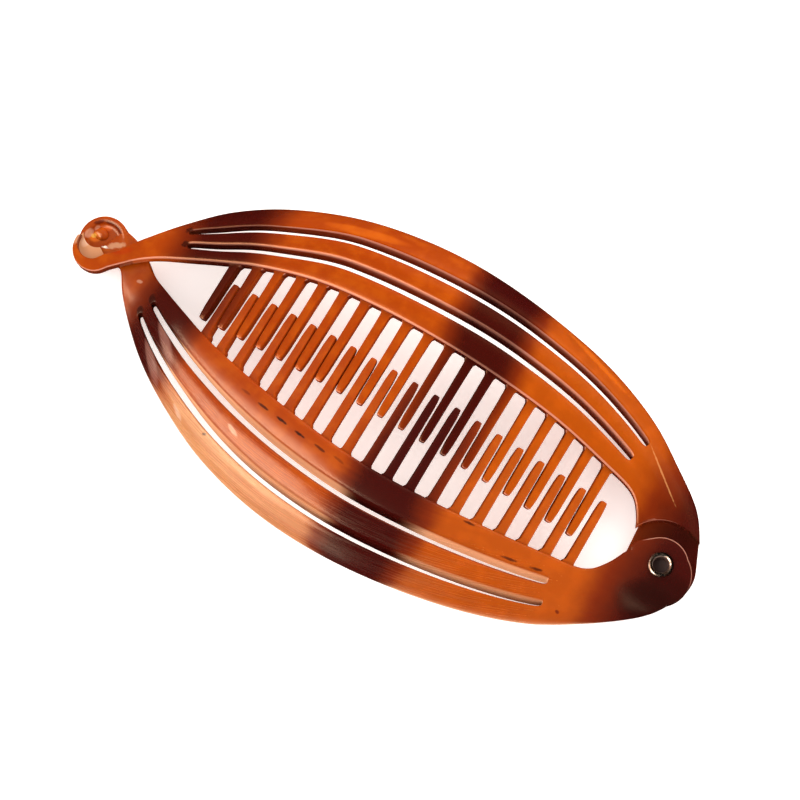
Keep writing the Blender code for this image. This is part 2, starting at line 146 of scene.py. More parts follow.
class Bench:
    """The modelling operators, each used on one thing at a time."""

    @staticmethod
    def alone(*things: Thing) -> None:
        """Selects these things and nothing else.

        Args:
            things: what to select, the first one active.
        """
        bpy.ops.object.select_all(action="DESELECT")
        for thing in things:
            thing.select_set(True)
        bpy.context.view_layer.objects.active = things[0] if things else None

    @classmethod
    def added(cls, name: str) -> Thing:
        """Names the primitive that was just added, and puts its place in its mesh.

        Args:
            name: the object's name.

        Returns:
            The primitive.
        """
        thing = bpy.context.view_layer.objects.active
        thing.name = name
        thing.data.name = name
        cls.settle(thing)
        return thing

    @classmethod
    def settle(cls, thing: Thing) -> None:
        """Puts a thing's place, turn and scale in its mesh."""
        cls.alone(thing)
        bpy.ops.object.transform_apply(location=True, rotation=True, scale=True)

    @classmethod
    @contextmanager
    def editing(cls, thing: Thing, pick: Pick) -> Iterator[None]:
        """Opens a thing in edit mode with nothing selected, and closes it afterwards.

        Args:
            thing: the object to open.
            pick: what is to be selected in it.

        Yields:
            Nothing. The thing is open within the with block.
        """
        cls.alone(thing)
        bpy.ops.object.mode_set(mode="EDIT")
        bpy.ops.mesh.select_mode(type=pick.value)
        bpy.ops.mesh.select_all(action="DESELECT")
        try:
            yield
        finally:
            bpy.ops.object.mode_set(mode="OBJECT")

    @staticmethod
    def faces(thing: Thing, wanted: Callable[[Vector, Vector], bool]) -> None:
        """Selects, in edit mode, the faces whose middle and normal pass a test, and no others.

        Args:
            thing: the object that is open in edit mode.
            wanted: takes a face's middle and its normal, and says whether it is wanted.
        """
        bpy.ops.mesh.select_all(action="DESELECT")
        mesh = bmesh.from_edit_mesh(thing.data)
        for face in mesh.faces:
            face.select_set(wanted(face.calc_center_median(), face.normal))
        bmesh.update_edit_mesh(thing.data)

    @classmethod
    def apply(cls, thing: Thing, kind: str, **settings: object) -> None:
        """Adds one modifier with its settings and applies it.

        Args:
            thing: the object to change.
            kind: the modifier's type.
            settings: the modifier's properties by name.
        """
        modifier = thing.modifiers.new(kind.lower(), kind)
        for name, value in settings.items():
            setattr(modifier, name, value)
        cls.alone(thing)
        bpy.ops.object.modifier_apply(modifier=modifier.name)

    @classmethod
    def round_edges(cls, thing: Thing, width: float, segments: int = 2, angle: float = 40.0) -> None:
        """Rounds every edge sharper than an angle.

        Args:
            thing: the object to change.
            width: the rounding's width in millimetres.
            segments: faces across the rounding.
            angle: the smallest angle that counts as an edge, in degrees.
        """
        cls.apply(
            thing,
            "BEVEL",
            width=width * MM,
            segments=segments,
            limit_method="ANGLE",
            angle_limit=math.radians(angle),
            use_clamp_overlap=False,
            miter_outer="MITER_ARC",
        )

    @classmethod
    def refine(cls, thing: Thing, levels: int = 1) -> None:
        """Subdivides a thing's surface."""
        cls.apply(thing, "SUBSURF", levels=levels, render_levels=levels)

    @classmethod
    def combine(cls, thing: Thing, other: Thing, joining: Joining) -> None:
        """Adds another solid to a thing, or cuts it out, and removes the other."""
        cls.apply(thing, "BOOLEAN", operation=joining.value, object=other, solver="EXACT")
        bpy.data.objects.remove(other, do_unlink=True)

    @classmethod
    def join(cls, things: list[Thing]) -> Thing:
        """Joins several objects in one mesh.

        Args:
            things: the objects, of which the first one stays.

        Returns:
            The first one.
        """
        cls.alone(*things)
        bpy.ops.object.join()
        return things[0]

    @classmethod
    def copied(cls, thing: Thing, name: str) -> Thing:
        """Copies a thing together with its mesh.

        Args:
            thing: the object to copy.
            name: the copy's name.

        Returns:
            The copy.
        """
        copy = thing.copy()
        copy.data = thing.data.copy()
        copy.name = name
        bpy.context.scene.collection.objects.link(copy)
        return copy

    @classmethod
    def outwards(cls, thing: Thing) -> None:
        """Merges doubled points and turns every face outwards.

        Args:
            thing: the closed object to mend.
        """
        with cls.editing(thing, Pick.POINTS):
            bpy.ops.mesh.select_all(action="SELECT")
            bpy.ops.mesh.remove_doubles(threshold=MERGE_WITHIN)
            bpy.ops.mesh.normals_make_consistent(inside=False)

    @classmethod
    def polish(cls, thing: Thing, angle: float = 32.0) -> None:
        """Shades a thing smooth, except over edges sharper than an angle."""
        cls.alone(thing)
        bpy.ops.object.shade_smooth_by_angle(angle=math.radians(angle))

    @classmethod
    def drum(cls, name: str, centre: Point, radius: float, low: float, high: float, sides: int = 64) -> Thing:
        """A round plate or cutter.

        Args:
            name: the object's name.
            centre: its middle in plan.
            radius: its radius.
            low: the height of its lower face.
            high: the height of its upper face.
            sides: how many sides its circle has.

        Returns:
            The closed cylinder.
        """
        cls.alone()
        bpy.ops.mesh.primitive_cylinder_add(
            vertices=sides,
            radius=radius * MM,
            depth=(high - low) * MM,
            location=metres(*centre, (low + high) / 2),
        )
        return cls.added(name)

    @classmethod
    def belt(cls, name: str, ends: tuple[tuple[Point, float], ...], low: float, high: float) -> Thing:
        """A plate as wide as a belt round circles.

        Args:
            name: the object's name.
            ends: each circle's middle and radius.
            low: the height of its lower face.
            high: the height of its upper face.

        Returns:
            The closed plate, its flat faces whole.
        """
        drums = [
            cls.drum(f"{name}_{i}", middle, radius, low, high) for i, (middle, radius) in enumerate(ends)
        ]
        plate = cls.join(drums)
        plate.name = name
        with cls.editing(plate, Pick.POINTS):
            bpy.ops.mesh.select_all(action="SELECT")
            bpy.ops.mesh.convex_hull(join_triangles=False)
            bpy.ops.mesh.select_all(action="SELECT")
            bpy.ops.mesh.dissolve_limited(angle_limit=math.radians(0.5))
        return plate


@dataclass(frozen=True)
class Arch:
    """The side view: an arch over two level ends.

    Attributes:
        end_top: height of the level ends' top.
        rise: height of the arch over the ends.
        start: where the arch begins along the clip.
        end: where it ends.
        power: over 1, so that the arch leaves its ends without a crease.
        end_plate: thickness at the ends.
        span_plate: thickness along the arch.
        thickens: between these distances from either end.
    """

    end_top: float = 5.9
    rise: float = 12.5
    start: float = 3.0
    end: float = 123.0
    power: float = 1.4
    end_plate: float = 2.6
    span_plate: float = 3.2
    thickens: Point = (9.0, 21.0)

    def height(self, x: float) -> float:
        """Height of an arm's inner top edge at x."""
        share = min(max((x - self.start) / (self.end - self.start), 0.0), 1.0)
        return self.end_top + self.rise * math.sin(math.pi * share) ** self.power

    def slope(self, x: float) -> float:
        """The arch's slope along the clip at x, as an angle."""
        return math.atan2(self.height(x + 0.5) - self.height(x - 0.5), 1.0)

    def thickness(self, x: float) -> float:
        """How thick an arm is.

        Args:
            x: where along the clip.

        Returns:
            Its thickness there.
        """
        from_end = min(x - self.start, self.end - x)
        share = (from_end - self.thickens[0] + self.start) / (self.thickens[1] - self.thickens[0])
        return self.end_plate + (self.span_plate - self.end_plate) * eased(share)


# The top's lines: a rib, a slot, a rib, a slot and the outer rib, which is the sloping flank
COLUMNS = (
    Column(0.0, 0.0, 0.0),
    Column(0.05, 0.0, 0.009),
    Column(0.15, 0.0, 0.016),
    Column(0.25, 0.015, 0.009),
    Column(0.30, 0.03, 0.0),
    Column(0.41, 0.06, 0.0),
    Column(0.465, 0.078, 0.0075),
    Column(0.52, 0.10, 0.010),
    Column(0.575, 0.133, 0.0075),
    Column(0.63, 0.17, 0.0),
    Column(0.735, 0.24, 0.0),
    Column(0.80, 0.385, 0.019),
    Column(0.87, 0.58, 0.026),
    Column(0.935, 0.78, 0.019),
    Column(1.0, 1.0, 0.0),
)
SLOTS = ((4, 5), (9, 10))
OUTER_RIB = 10


@dataclass
class Arm:
    """One arm of the clip: a bowed, slotted band with comb teeth.

    Attributes:
        name: the finished piece's name.
        side: 1 for the arm on the +Y side, -1 for the other.
        sections: the cuts that the band runs through.
        slots_from: place of the slots' first end.
        slots_to: place of their last end.
        first_tooth: where the first tooth stands.
        arch: the side view.
        teeth: how many teeth.
        pitch: from tooth to tooth.
        reach: how far a tooth's tip reaches past the long axis.
        tooth_width: a tooth's width near its root.
        tip_width: its width near its tip.
        tooth_depth: its height.
        tooth_down: its top below the arm's top.
        buried: how far it runs into the arm.
        spacing: distance between stations.
        slot_round: radius of a slot's ends.
        rim_in: how far in the outer edge's lower corner lies.
        rim_down: and how far down.
        crowned_from: the drop at which the ribs have their full crown.
        edge: width of the rounding along every edge.
        tooth_edge: width of the rounding along a tooth's edges.
        wall_leans: how far in the foot of a slot's wall lies below its top, by column.
        bar_at: middle of the bar that a tooth starts as, in metres, like the next three.
        bar_length: that bar's length.
        tip_from: a tooth's points past here are its tip, which moves to give it its length.
        root_from: its points short of here are its root, which follows the arm's edge.
    """

    name: str
    side: int
    sections: tuple[Section, ...]
    slots_from: float
    slots_to: float
    first_tooth: float
    arch: Arch = field(default_factory=Arch)
    teeth: int = 19
    pitch: float = 4.555
    reach: float = 4.6
    tooth_width: float = 1.85
    tip_width: float = 1.45
    tooth_depth: float = 2.0
    tooth_down: float = 0.75
    buried: float = 1.2
    spacing: float = 1.2
    slot_round: float = 1.1
    rim_in: float = 1.6
    rim_down: float = 1.5
    crowned_from: float = 4.0
    edge: float = 0.42
    tooth_edge: float = 0.24
    wall_leans: dict[int, float] = field(default_factory=dict)
    bar_at: float = -0.002
    bar_length: float = 0.0026
    tip_from: float = -0.005
    root_from: float = -0.001

    def slot_shift(self, x: float) -> float:
        """How far the slots lie nearer the teeth at x than listed, as a share of the arm's width."""
        return 0.0

    def lowered(self, x: float) -> float:
        """How far the arm lies below the arch at x."""
        return 0.0

    def levelled(self, x: float, y: float, z: float, place: float) -> float:
        """The height of the top at a point, given the arch's height z there."""
        return z

    def section(self, place: float) -> Section:
        """The cut between two listed ones, on a smooth curve through them.

        Args:
            place: where it lies among them, 1 for each step.

        Returns:
            The section there.
        """
        last = len(self.sections) - 1
        k = min(int(place), last - 1)
        t = place - k
        near = (self.sections[min(max(k + i, 0), last)] for i in (-1, 0, 1, 2))
        cube = (
            0.5 * (2 * q + (r - p) * t + (2 * p - 5 * q + 4 * r - s) * t**2 + (3 * q - p - 3 * r + s) * t**3)
            for p, q, r, s in zip(*near)
        )
        return Section(*cube)

    def step_length(self, place: float) -> float:
        """Length of arm in one step of place.

        Args:
            place: where it is measured.

        Returns:
            The length along the arm's middle.
        """
        a, b = self.section(place - 0.01), self.section(place + 0.01)
        along_x = (b.inner_x + b.outer_x - a.inner_x - a.outer_x) / 2
        along_y = (b.inner_y + b.outer_y - a.inner_y - a.outer_y) / 2
        return math.hypot(along_x, along_y) / 0.02

    def rows(self) -> list[Row]:
        """Sets out the stations along the arm, with extra ones that turn the slots' ends round.

        Returns:
            The stations in order.
        """
        found: dict[float, float] = {}
        for k in range(len(self.sections) - 1):
            count = max(1, round(self.step_length(k + 0.5) / self.spacing))
            for i in range(count):
                place = k + i / count
                found[place] = 1.0 if self.slots_from < place < self.slots_to else 0.0
        found[float(len(self.sections) - 1)] = 0.0
        for end, way in ((self.slots_from, 1), (self.slots_to, -1)):
            reach = self.slot_round / self.step_length(end)
            for place in list(found):
                if GIVES_WAY[0] * reach < (place - end) * way < GIVES_WAY[1] * reach:
                    del found[place]
            for turn in SLOT_END_TURNS:
                share = 1 - math.cos(math.radians(turn))
                found[end + way * reach * share] = math.sin(math.radians(turn))
        return [Row(place, opened) for place, opened in sorted(found.items())]

    def top_points(self, row: Row) -> list[Vector]:
        """Works out one station's top. A closed slot's two lines meet.

        Args:
            row: the station.

        Returns:
            Its points, one for each column, in plan millimetres.
        """
        section = self.section(row.place)
        width = math.hypot(section.outer_x - section.inner_x, section.outer_y - section.inner_y)
        roundness = width * min(max(section.drop, 0.0) / self.crowned_from, 1.0)
        shares = [list(column) for column in COLUMNS]
        shift = self.slot_shift(section.inner_x)
        for share in shares:
            fades = min(share[0] / SHIFT_FADES[0], 1.0), min((1 - share[0]) / SHIFT_FADES[1], 1.0)
            share[0] -= shift * fades[0] * fades[1]
        for near, far in SLOTS:
            for i in range(3):
                middle = (shares[near][i] + shares[far][i]) / 2
                shares[near][i] = middle + (shares[near][i] - middle) * row.opened
                shares[far][i] = middle + (shares[far][i] - middle) * row.opened
        points = []
        for across, drop, crown in shares:
            x = section.inner_x + (section.outer_x - section.inner_x) * across
            y = section.inner_y + (section.outer_y - section.inner_y) * across
            z = self.arch.height(x) - self.lowered(x) - section.drop * drop + crown * roundness
            points.append(Vector((x, y, self.levelled(x, y, z, row.place))))
        return points

    def under_point(self, row: Row, index: int, top: Vector) -> Vector:
        """Works out the underside, which lies square to the flank on the outer rib.

        Args:
            row: the station.
            index: the column's number.
            top: the top's point there.

        Returns:
            The underside's point below it.
        """
        section = self.section(row.place)
        across = Vector((section.outer_x - section.inner_x, section.outer_y - section.inner_y, 0.0))
        slope = min(max(section.drop, 0.0) / across.length * 3, 1.0)
        start = COLUMNS[OUTER_RIB].across
        lean = max(0.0, (COLUMNS[index].across - start) / (1 - start)) * slope
        plate = self.arch.thickness(top.x)
        wall_lean = self.wall_leans.get(index, 0.0) * self.lean_share(top.x)
        inwards = self.rim_in * lean + wall_lean * row.opened
        moved = top - across.normalized() * inwards
        moved.z -= plate - (plate - self.rim_down) * lean
        return moved

    @staticmethod
    def lean_share(x: float) -> float:
        """How much a slot's wall leans at x: about a third as much by the clasp as along the arch."""
        return 0.35 + 0.65 * eased((x - 25.0) / 30.0)

    def band(self) -> Thing:
        """Models the arm without its teeth.

        Returns:
            A grid laid along the sections, its slots open, drawn down to the underside.
        """
        rows = self.rows()
        last_row, last_column = len(rows) - 1, len(COLUMNS) - 1
        Bench.alone()
        bpy.ops.mesh.primitive_grid_add(x_subdivisions=last_row, y_subdivisions=last_column, size=1.0)
        thing = Bench.added(self.name)
        slot_lines = [(near + 0.5) / last_column - 0.5 for near, far in SLOTS]
        with Bench.editing(thing, Pick.FACES):
            Bench.faces(thing, lambda middle, normal: min(abs(middle.y - y) for y in slot_lines) < 0.01)
            bpy.ops.mesh.delete(type="FACE")
        under: dict[tuple[int, ...], Vector] = {}
        tops = [self.top_points(row) for row in rows]
        for vertex in thing.data.vertices:
            i = round((vertex.co.x + 0.5) * last_row)
            j = round((vertex.co.y + 0.5) * last_column)
            top = tops[i][j]
            vertex.co = metres(*top)
            under[self.key(vertex.co)] = metres(*self.under_point(rows[i], j, top))
        with Bench.editing(thing, Pick.POINTS):
            bpy.ops.mesh.select_all(action="SELECT")
            bpy.ops.mesh.remove_doubles(threshold=MERGE_WITHIN)
            bpy.ops.mesh.select_all(action="SELECT")
            bpy.ops.mesh.extrude_region_move(TRANSFORM_OT_translate={"value": (0.0, 0.0, 0.0)})
        for vertex in thing.data.vertices:
            if vertex.select:
                vertex.co = under[self.key(vertex.co)]
        with Bench.editing(thing, Pick.FACES):
            bpy.ops.mesh.select_all(action="SELECT")
            bpy.ops.mesh.normals_make_consistent(inside=False)
        Bench.round_edges(thing, self.edge)
        Bench.refine(thing)
        return thing

    @staticmethod
    def key(place: Vector) -> tuple[int, ...]:
        """A place to the nearest micrometre, to look points up by."""
        return tuple(round(value * 1e6) for value in place)

    def inner_edge(self, x: float) -> float:
        """Finds the arm's inner edge on its long run between the slots' ends.

        Args:
            x: where along the clip.

        Returns:
            Where the edge lies across it.
        """
        low, high = self.slots_from - 3.0, len(self.sections) - 1.0
        for _ in range(40):
            middle = (low + high) / 2
            if self.section(middle).inner_x < x:
                low = middle
            else:
                high = middle
        return self.section(low).inner_y

    def tooth(self) -> Thing:
        """Models one tooth.

        Returns:
            A bar along -Y, drawn out to a round tip and flared at its root, which is at y 0.
        """
        Bench.alone()
        bpy.ops.mesh.primitive_cube_add(size=1.0, location=(0.0, self.bar_at, 0.0))
        thing = bpy.context.view_layer.objects.active
        thing.scale = (self.tooth_width * MM, self.bar_length, self.tooth_depth * MM)
        thing = Bench.added(f"{self.name}_tooth")
        # Each stretch's way and length, and how much wider and deeper it gets
        steps = (
            (-1, 4.0, self.tip_width / self.tooth_width, 0.9),
            (-1, 0.32, 0.80, 0.90),
            (-1, 0.16, 0.55, 0.70),
            (1, 0.35, 1.10, 1.0),
            (1, 0.35, 1.40, 1.0),
            (1, self.buried, 1.0, 1.0),
        )
        for way, length, wider, deeper in steps:
            with Bench.editing(thing, Pick.FACES):
                Bench.faces(thing, lambda middle, normal: normal.y * way > 0.9)
                further = (0.0, way * length * MM, 0.0)
                bpy.ops.mesh.extrude_region_move(TRANSFORM_OT_translate={"value": further})
                bpy.ops.transform.resize(value=(wider, 1.0, deeper))
        Bench.round_edges(thing, self.tooth_edge, 2, 50.0)
        Bench.refine(thing)
        return thing

    def comb(self) -> Thing:
        """Copies one tooth along the arm, and draws each copy out to its own length.

        Returns:
            All the teeth in one object.
        """
        model = self.tooth()
        lowest = min(vertex.co.y for vertex in model.data.vertices)
        copies = []
        for number in range(self.teeth):
            x = self.first_tooth + self.pitch * number
            edge_y = self.inner_edge(x)
            wall = (self.inner_edge(x + 1) - self.inner_edge(x - 1)) / 2
            copy = Bench.copied(model, f"{self.name}_tooth_{number}")
            longer = lowest + (edge_y * self.side + self.reach) * MM
            for vertex in copy.data.vertices:
                if vertex.co.y < self.tip_from:
                    vertex.co.y -= longer
                if vertex.co.y > self.root_from:
                    vertex.co.y += vertex.co.x * wall * self.side
            copy.location = metres(x, edge_y, self.arch.height(x) - self.tooth_down - self.tooth_depth / 2)
            copy.rotation_euler = (0.0, -self.arch.slope(x), 0.0)
            if self.side < 0:
                copy.rotation_euler = (0.0, self.arch.slope(x), math.pi)
            Bench.settle(copy)
            copies.append(copy)
        bpy.data.objects.remove(model, do_unlink=True)
        return Bench.join(copies)

    def ends(self, thing: Thing) -> None:
        """Adds what the arm carries at its two ends, which each arm has of its own."""

    def build(self) -> Thing:
        """Models the whole arm.

        Returns:
            The finished piece, one closed mesh.
        """
        thing = self.band()
        Bench.combine(thing, self.comb(), Joining.ADD)
        self.ends(thing)
        Bench.outwards(thing)
        Bench.polish(thing)
        return thing


HOOK_NECK = (
    Section(4.2, -4.6, 2.1, -2.3, 0.0),
    Section(6.3, -2.6, 4.3, -0.3, 0.0),
    Section(9.0, -0.3, 6.3, 2.8, 0.3),
    Section(12.8, 2.0, 9.4, 7.0, 1.3),
)
HOOK_SPAN = (
    Section(18.1, 4.2, 13.8, 12.4, 3.0),
    Section(25.8, 7.1, 20.1, 18.4, 4.4),
    Section(34.0, 9.8, 29.8, 23.9, 5.3),
    Section(46.0, 12.3, 43.2, 28.4, 5.9),
    Section(59.0, 13.3, 57.0, 30.8, 6.2),
    Section(72.0, 13.6, 71.0, 31.6, 6.2),
    Section(85.0, 13.4, 85.9, 30.7, 6.0),
    Section(98.0, 12.5, 100.8, 28.3, 5.4),
    Section(109.4, 10.5, 112.95, 24.0, 4.6),
    Section(116.4, 8.7, 121.6, 18.5, 3.4),
    Section(119.6, 5.2, 129.0, 12.5, 2.0),
    Section(121.0, 1.6, 132.8, 6.4, 1.0),
)
HOOK_TURNS = (176.0, 190.0, 206.0, 222.0, 240.0, 258.0, 276.0, 292.0, 308.0)
KNOB_TAIL = (
    Section(2.1, 4.7, -0.4, -2.0, 0.0),
    Section(5.8, 3.9, 2.6, -2.6, 0.0),
    Section(10.4, 1.3, 5.9, -2.9, 0.0),
    Section(13.2, -0.7, 8.8, -6.8, 0.6),
)
KNOB_SPAN = (
    Section(17.8, -2.6, 13.4, -11.6, 2.2),
    Section(24.5, -5.1, 20.1, -16.9, 3.9),
    Section(33.0, -7.9, 29.7, -22.6, 5.2),
    Section(45.0, -10.6, 42.4, -28.2, 6.0),
    Section(58.0, -12.7, 56.5, -31.6, 6.2),
    Section(71.0, -13.8, 70.5, -32.4, 6.2),
    Section(84.0, -13.2, 84.6, -31.0, 6.0),
    Section(97.0, -11.7, 99.1, -27.7, 5.4),
    Section(108.5, -9.9, 111.6, -23.0, 4.6),
    Section(116.0, -8.4, 121.1, -17.3, 3.2),
    Section(119.3, -5.0, 127.6, -12.6, 2.0),
    Section(121.2, -1.2, 131.5, -8.9, 0.9),
    Section(122.9, 0.8, 133.7, -5.0, 0.3),
)


@dataclass
class HookArm(Arm):
    """The arm whose neck ends in the cupped hook, and whose other end is the tongue below the disc.

    Attributes:
        rim_at: middle of the outer edge of the hook's bar.
        rim: that edge's half length and half width.
        rim_thins: how much nearer it lies at the bar's tip.
        bore_thins: how much nearer the inner edge lies there.
        thins: short of this turn the bar thins, over this many degrees.
        cup_floor: how far the cup's floor reaches up from the lowest that it may lie.
        cup_up: how far its underside lies over that.
        cup_overlap: how far it runs into the bar.
        bore_at: middle of the hook's bore.
        bore: radius of the bore.
        cup_edge_at: middle of the circle that the cup's floor is cut by.
        cup_edge: its radius.
        cup_end_at: a point of the plane that cuts off the floor's end by the neck.
        cup_end_faces: the way that this plane faces.
        step: radius of the step's wall round the rivet.
        step_round: height of the rounding at the wall's top.
        step_low: how far the wall is cut below the tongue's top.
        root_in: how far inside the tongue's outline its root lies.
        root_low: height of the root's underside.
        root_over: how far the root reaches over the tongue.
        tongue: the tongue's radius round the rivet.
        foot_at: middle of the other circle that the tongue spans.
        foot: its radius.
        hole: radius of the rivet's hole.
        seat: radius and depth of the seat below.
        step_rounding: how far each ring of the step's upper edge lies over the last, and how much wider.
    """

    rim_at: Point = (0.2, -1.7)
    rim: Point = (5.05, 5.35)
    rim_thins: float = 0.28
    bore_thins: float = 0.22
    thins: Point = (212.0, 40.0)
    cup_floor: float = 0.9
    cup_up: float = 0.05
    cup_overlap: float = 0.4
    bore_at: Point = (-0.9, -1.3)
    bore: float = 3.35
    cup_edge_at: Point = (-1.7, 0.9)
    cup_edge: float = 2.85
    cup_end_at: tuple[float, float, float] = (0.675, -1.49, 4.0)
    cup_end_faces: tuple[float, float, float] = (0.49, 0.87, 0.0)
    step: float = 8.5
    step_round: float = 0.35
    step_low: float = 0.4
    root_in: float = 0.3
    root_low: float = 0.35
    root_over: float = 1.2
    tongue: float = 6.9
    foot_at: Point = (126.6, 5.4)
    foot: float = 5.9
    hole: float = 2.15
    seat: Point = (3.0, 0.85)
    step_rounding: tuple[Point, ...] = ((0.22, 1.012), (0.13, 1.03))

    def slot_shift(self, x: float) -> float:
        """How far the slots lie nearer the teeth at x than listed, as a share of the arm's width."""
        by_clasp = 0.05 * eased((x - 17.0) / 9.0) * eased((50.0 - x) / 16.0)
        return by_clasp + 0.046 * eased((x - 14.0) / 10.0) * (1 - 0.75 * eased((x - 62.0) / 24.0))

    @classmethod
    def hook_sections(cls) -> tuple[Section, ...]:
        """Sets out the cuts round the hook's bar, which is thinnest at its tip.

        Returns:
            The cuts from the tip to the neck.
        """
        found = []
        for turn in HOOK_TURNS:
            way = (math.cos(math.radians(turn)), math.sin(math.radians(turn)))
            thin = eased((cls.thins[0] - turn) / cls.thins[1])
            rim_x = cls.rim_at[0] + (cls.rim[0] - cls.rim_thins * thin) * way[0]
            rim_y = cls.rim_at[1] + (cls.rim[1] - cls.rim_thins * thin) * way[1]
            bore_x = cls.bore_at[0] + (cls.bore - cls.bore_thins * thin) * way[0]
            bore_y = cls.bore_at[1] + cls.bore * way[1]
            found.append(Section(rim_x, rim_y, bore_x, bore_y, 0.0))
        return tuple(found)

    def cup(self) -> Thing:
        """Models the hook's floor.

        Returns:
            A crescent cut from a round plate.
        """
        low, high = LOWER_TOP + GAP + self.cup_up, LOWER_TOP + GAP + self.cup_floor
        floor = Bench.drum("cup_floor", self.bore_at, self.bore + self.cup_overlap, low, high)
        cutter = Bench.drum("cup_cutter", self.cup_edge_at, self.cup_edge, low - 1, high + 1)
        Bench.combine(floor, cutter, Joining.CUT)
        with Bench.editing(floor, Pick.FACES):
            bpy.ops.mesh.select_all(action="SELECT")
            bpy.ops.mesh.bisect(
                plane_co=metres(*self.cup_end_at),
                plane_no=self.cup_end_faces,
                use_fill=True,
                clear_outer=True,
            )
        Bench.round_edges(floor, 0.16)
        return floor

    def step_cutter(self) -> Thing:
        """Models what cuts the step over the tongue.

        Returns:
            A drum that widens where the wall's upper edge is rounded.
        """
        over = 3.0
        low, high = LOWER_TOP - self.step_low, self.arch.end_top + over
        cutter = Bench.drum("step_cutter", RIVET_AT, self.step, low, high, 96)
        with Bench.editing(cutter, Pick.FACES):
            Bench.faces(cutter, lambda middle, normal: normal.z > 0.9)
            bpy.ops.transform.translate(value=(0.0, 0.0, (-over - self.step_round) * MM))
            for rise, wider in self.step_rounding:
                bpy.ops.mesh.extrude_region_move(TRANSFORM_OT_translate={"value": (0.0, 0.0, rise * MM)})
                middle = metres(*RIVET_AT, 0.0)
                bpy.ops.transform.resize(value=(wider, wider, 1.0), center_override=middle)
            bpy.ops.mesh.extrude_region_move(TRANSFORM_OT_translate={"value": (0.0, 0.0, over * MM)})
        return cutter

    def ends(self, thing: Thing) -> None:
        """Adds the cup's floor and the tongue, and cuts the step and the rivet's hole.

        Args:
            thing: the arm with its teeth.
        """
        Bench.combine(thing, self.cup(), Joining.ADD)
        circles = ((RIVET_AT, self.tongue - self.root_in), (self.foot_at, self.foot - self.root_in))
        root = Bench.belt("tongue_root", circles, self.root_low, LOWER_TOP + self.root_over)
        Bench.combine(thing, root, Joining.ADD)
        Bench.combine(thing, self.step_cutter(), Joining.CUT)
        circles = ((RIVET_AT, self.tongue), (self.foot_at, self.foot))
        tongue = Bench.belt("tongue", circles, 0.0, LOWER_TOP)
        Bench.round_edges(tongue, 0.35, 3)
        Bench.combine(thing, tongue, Joining.ADD)
        Bench.combine(thing, Bench.drum("hole", RIVET_AT, self.hole, -1.0, 6.0), Joining.CUT)
        Bench.combine(thing, Bench.drum("seat", RIVET_AT, self.seat[0], -1.0, self.seat[1]), Joining.CUT)


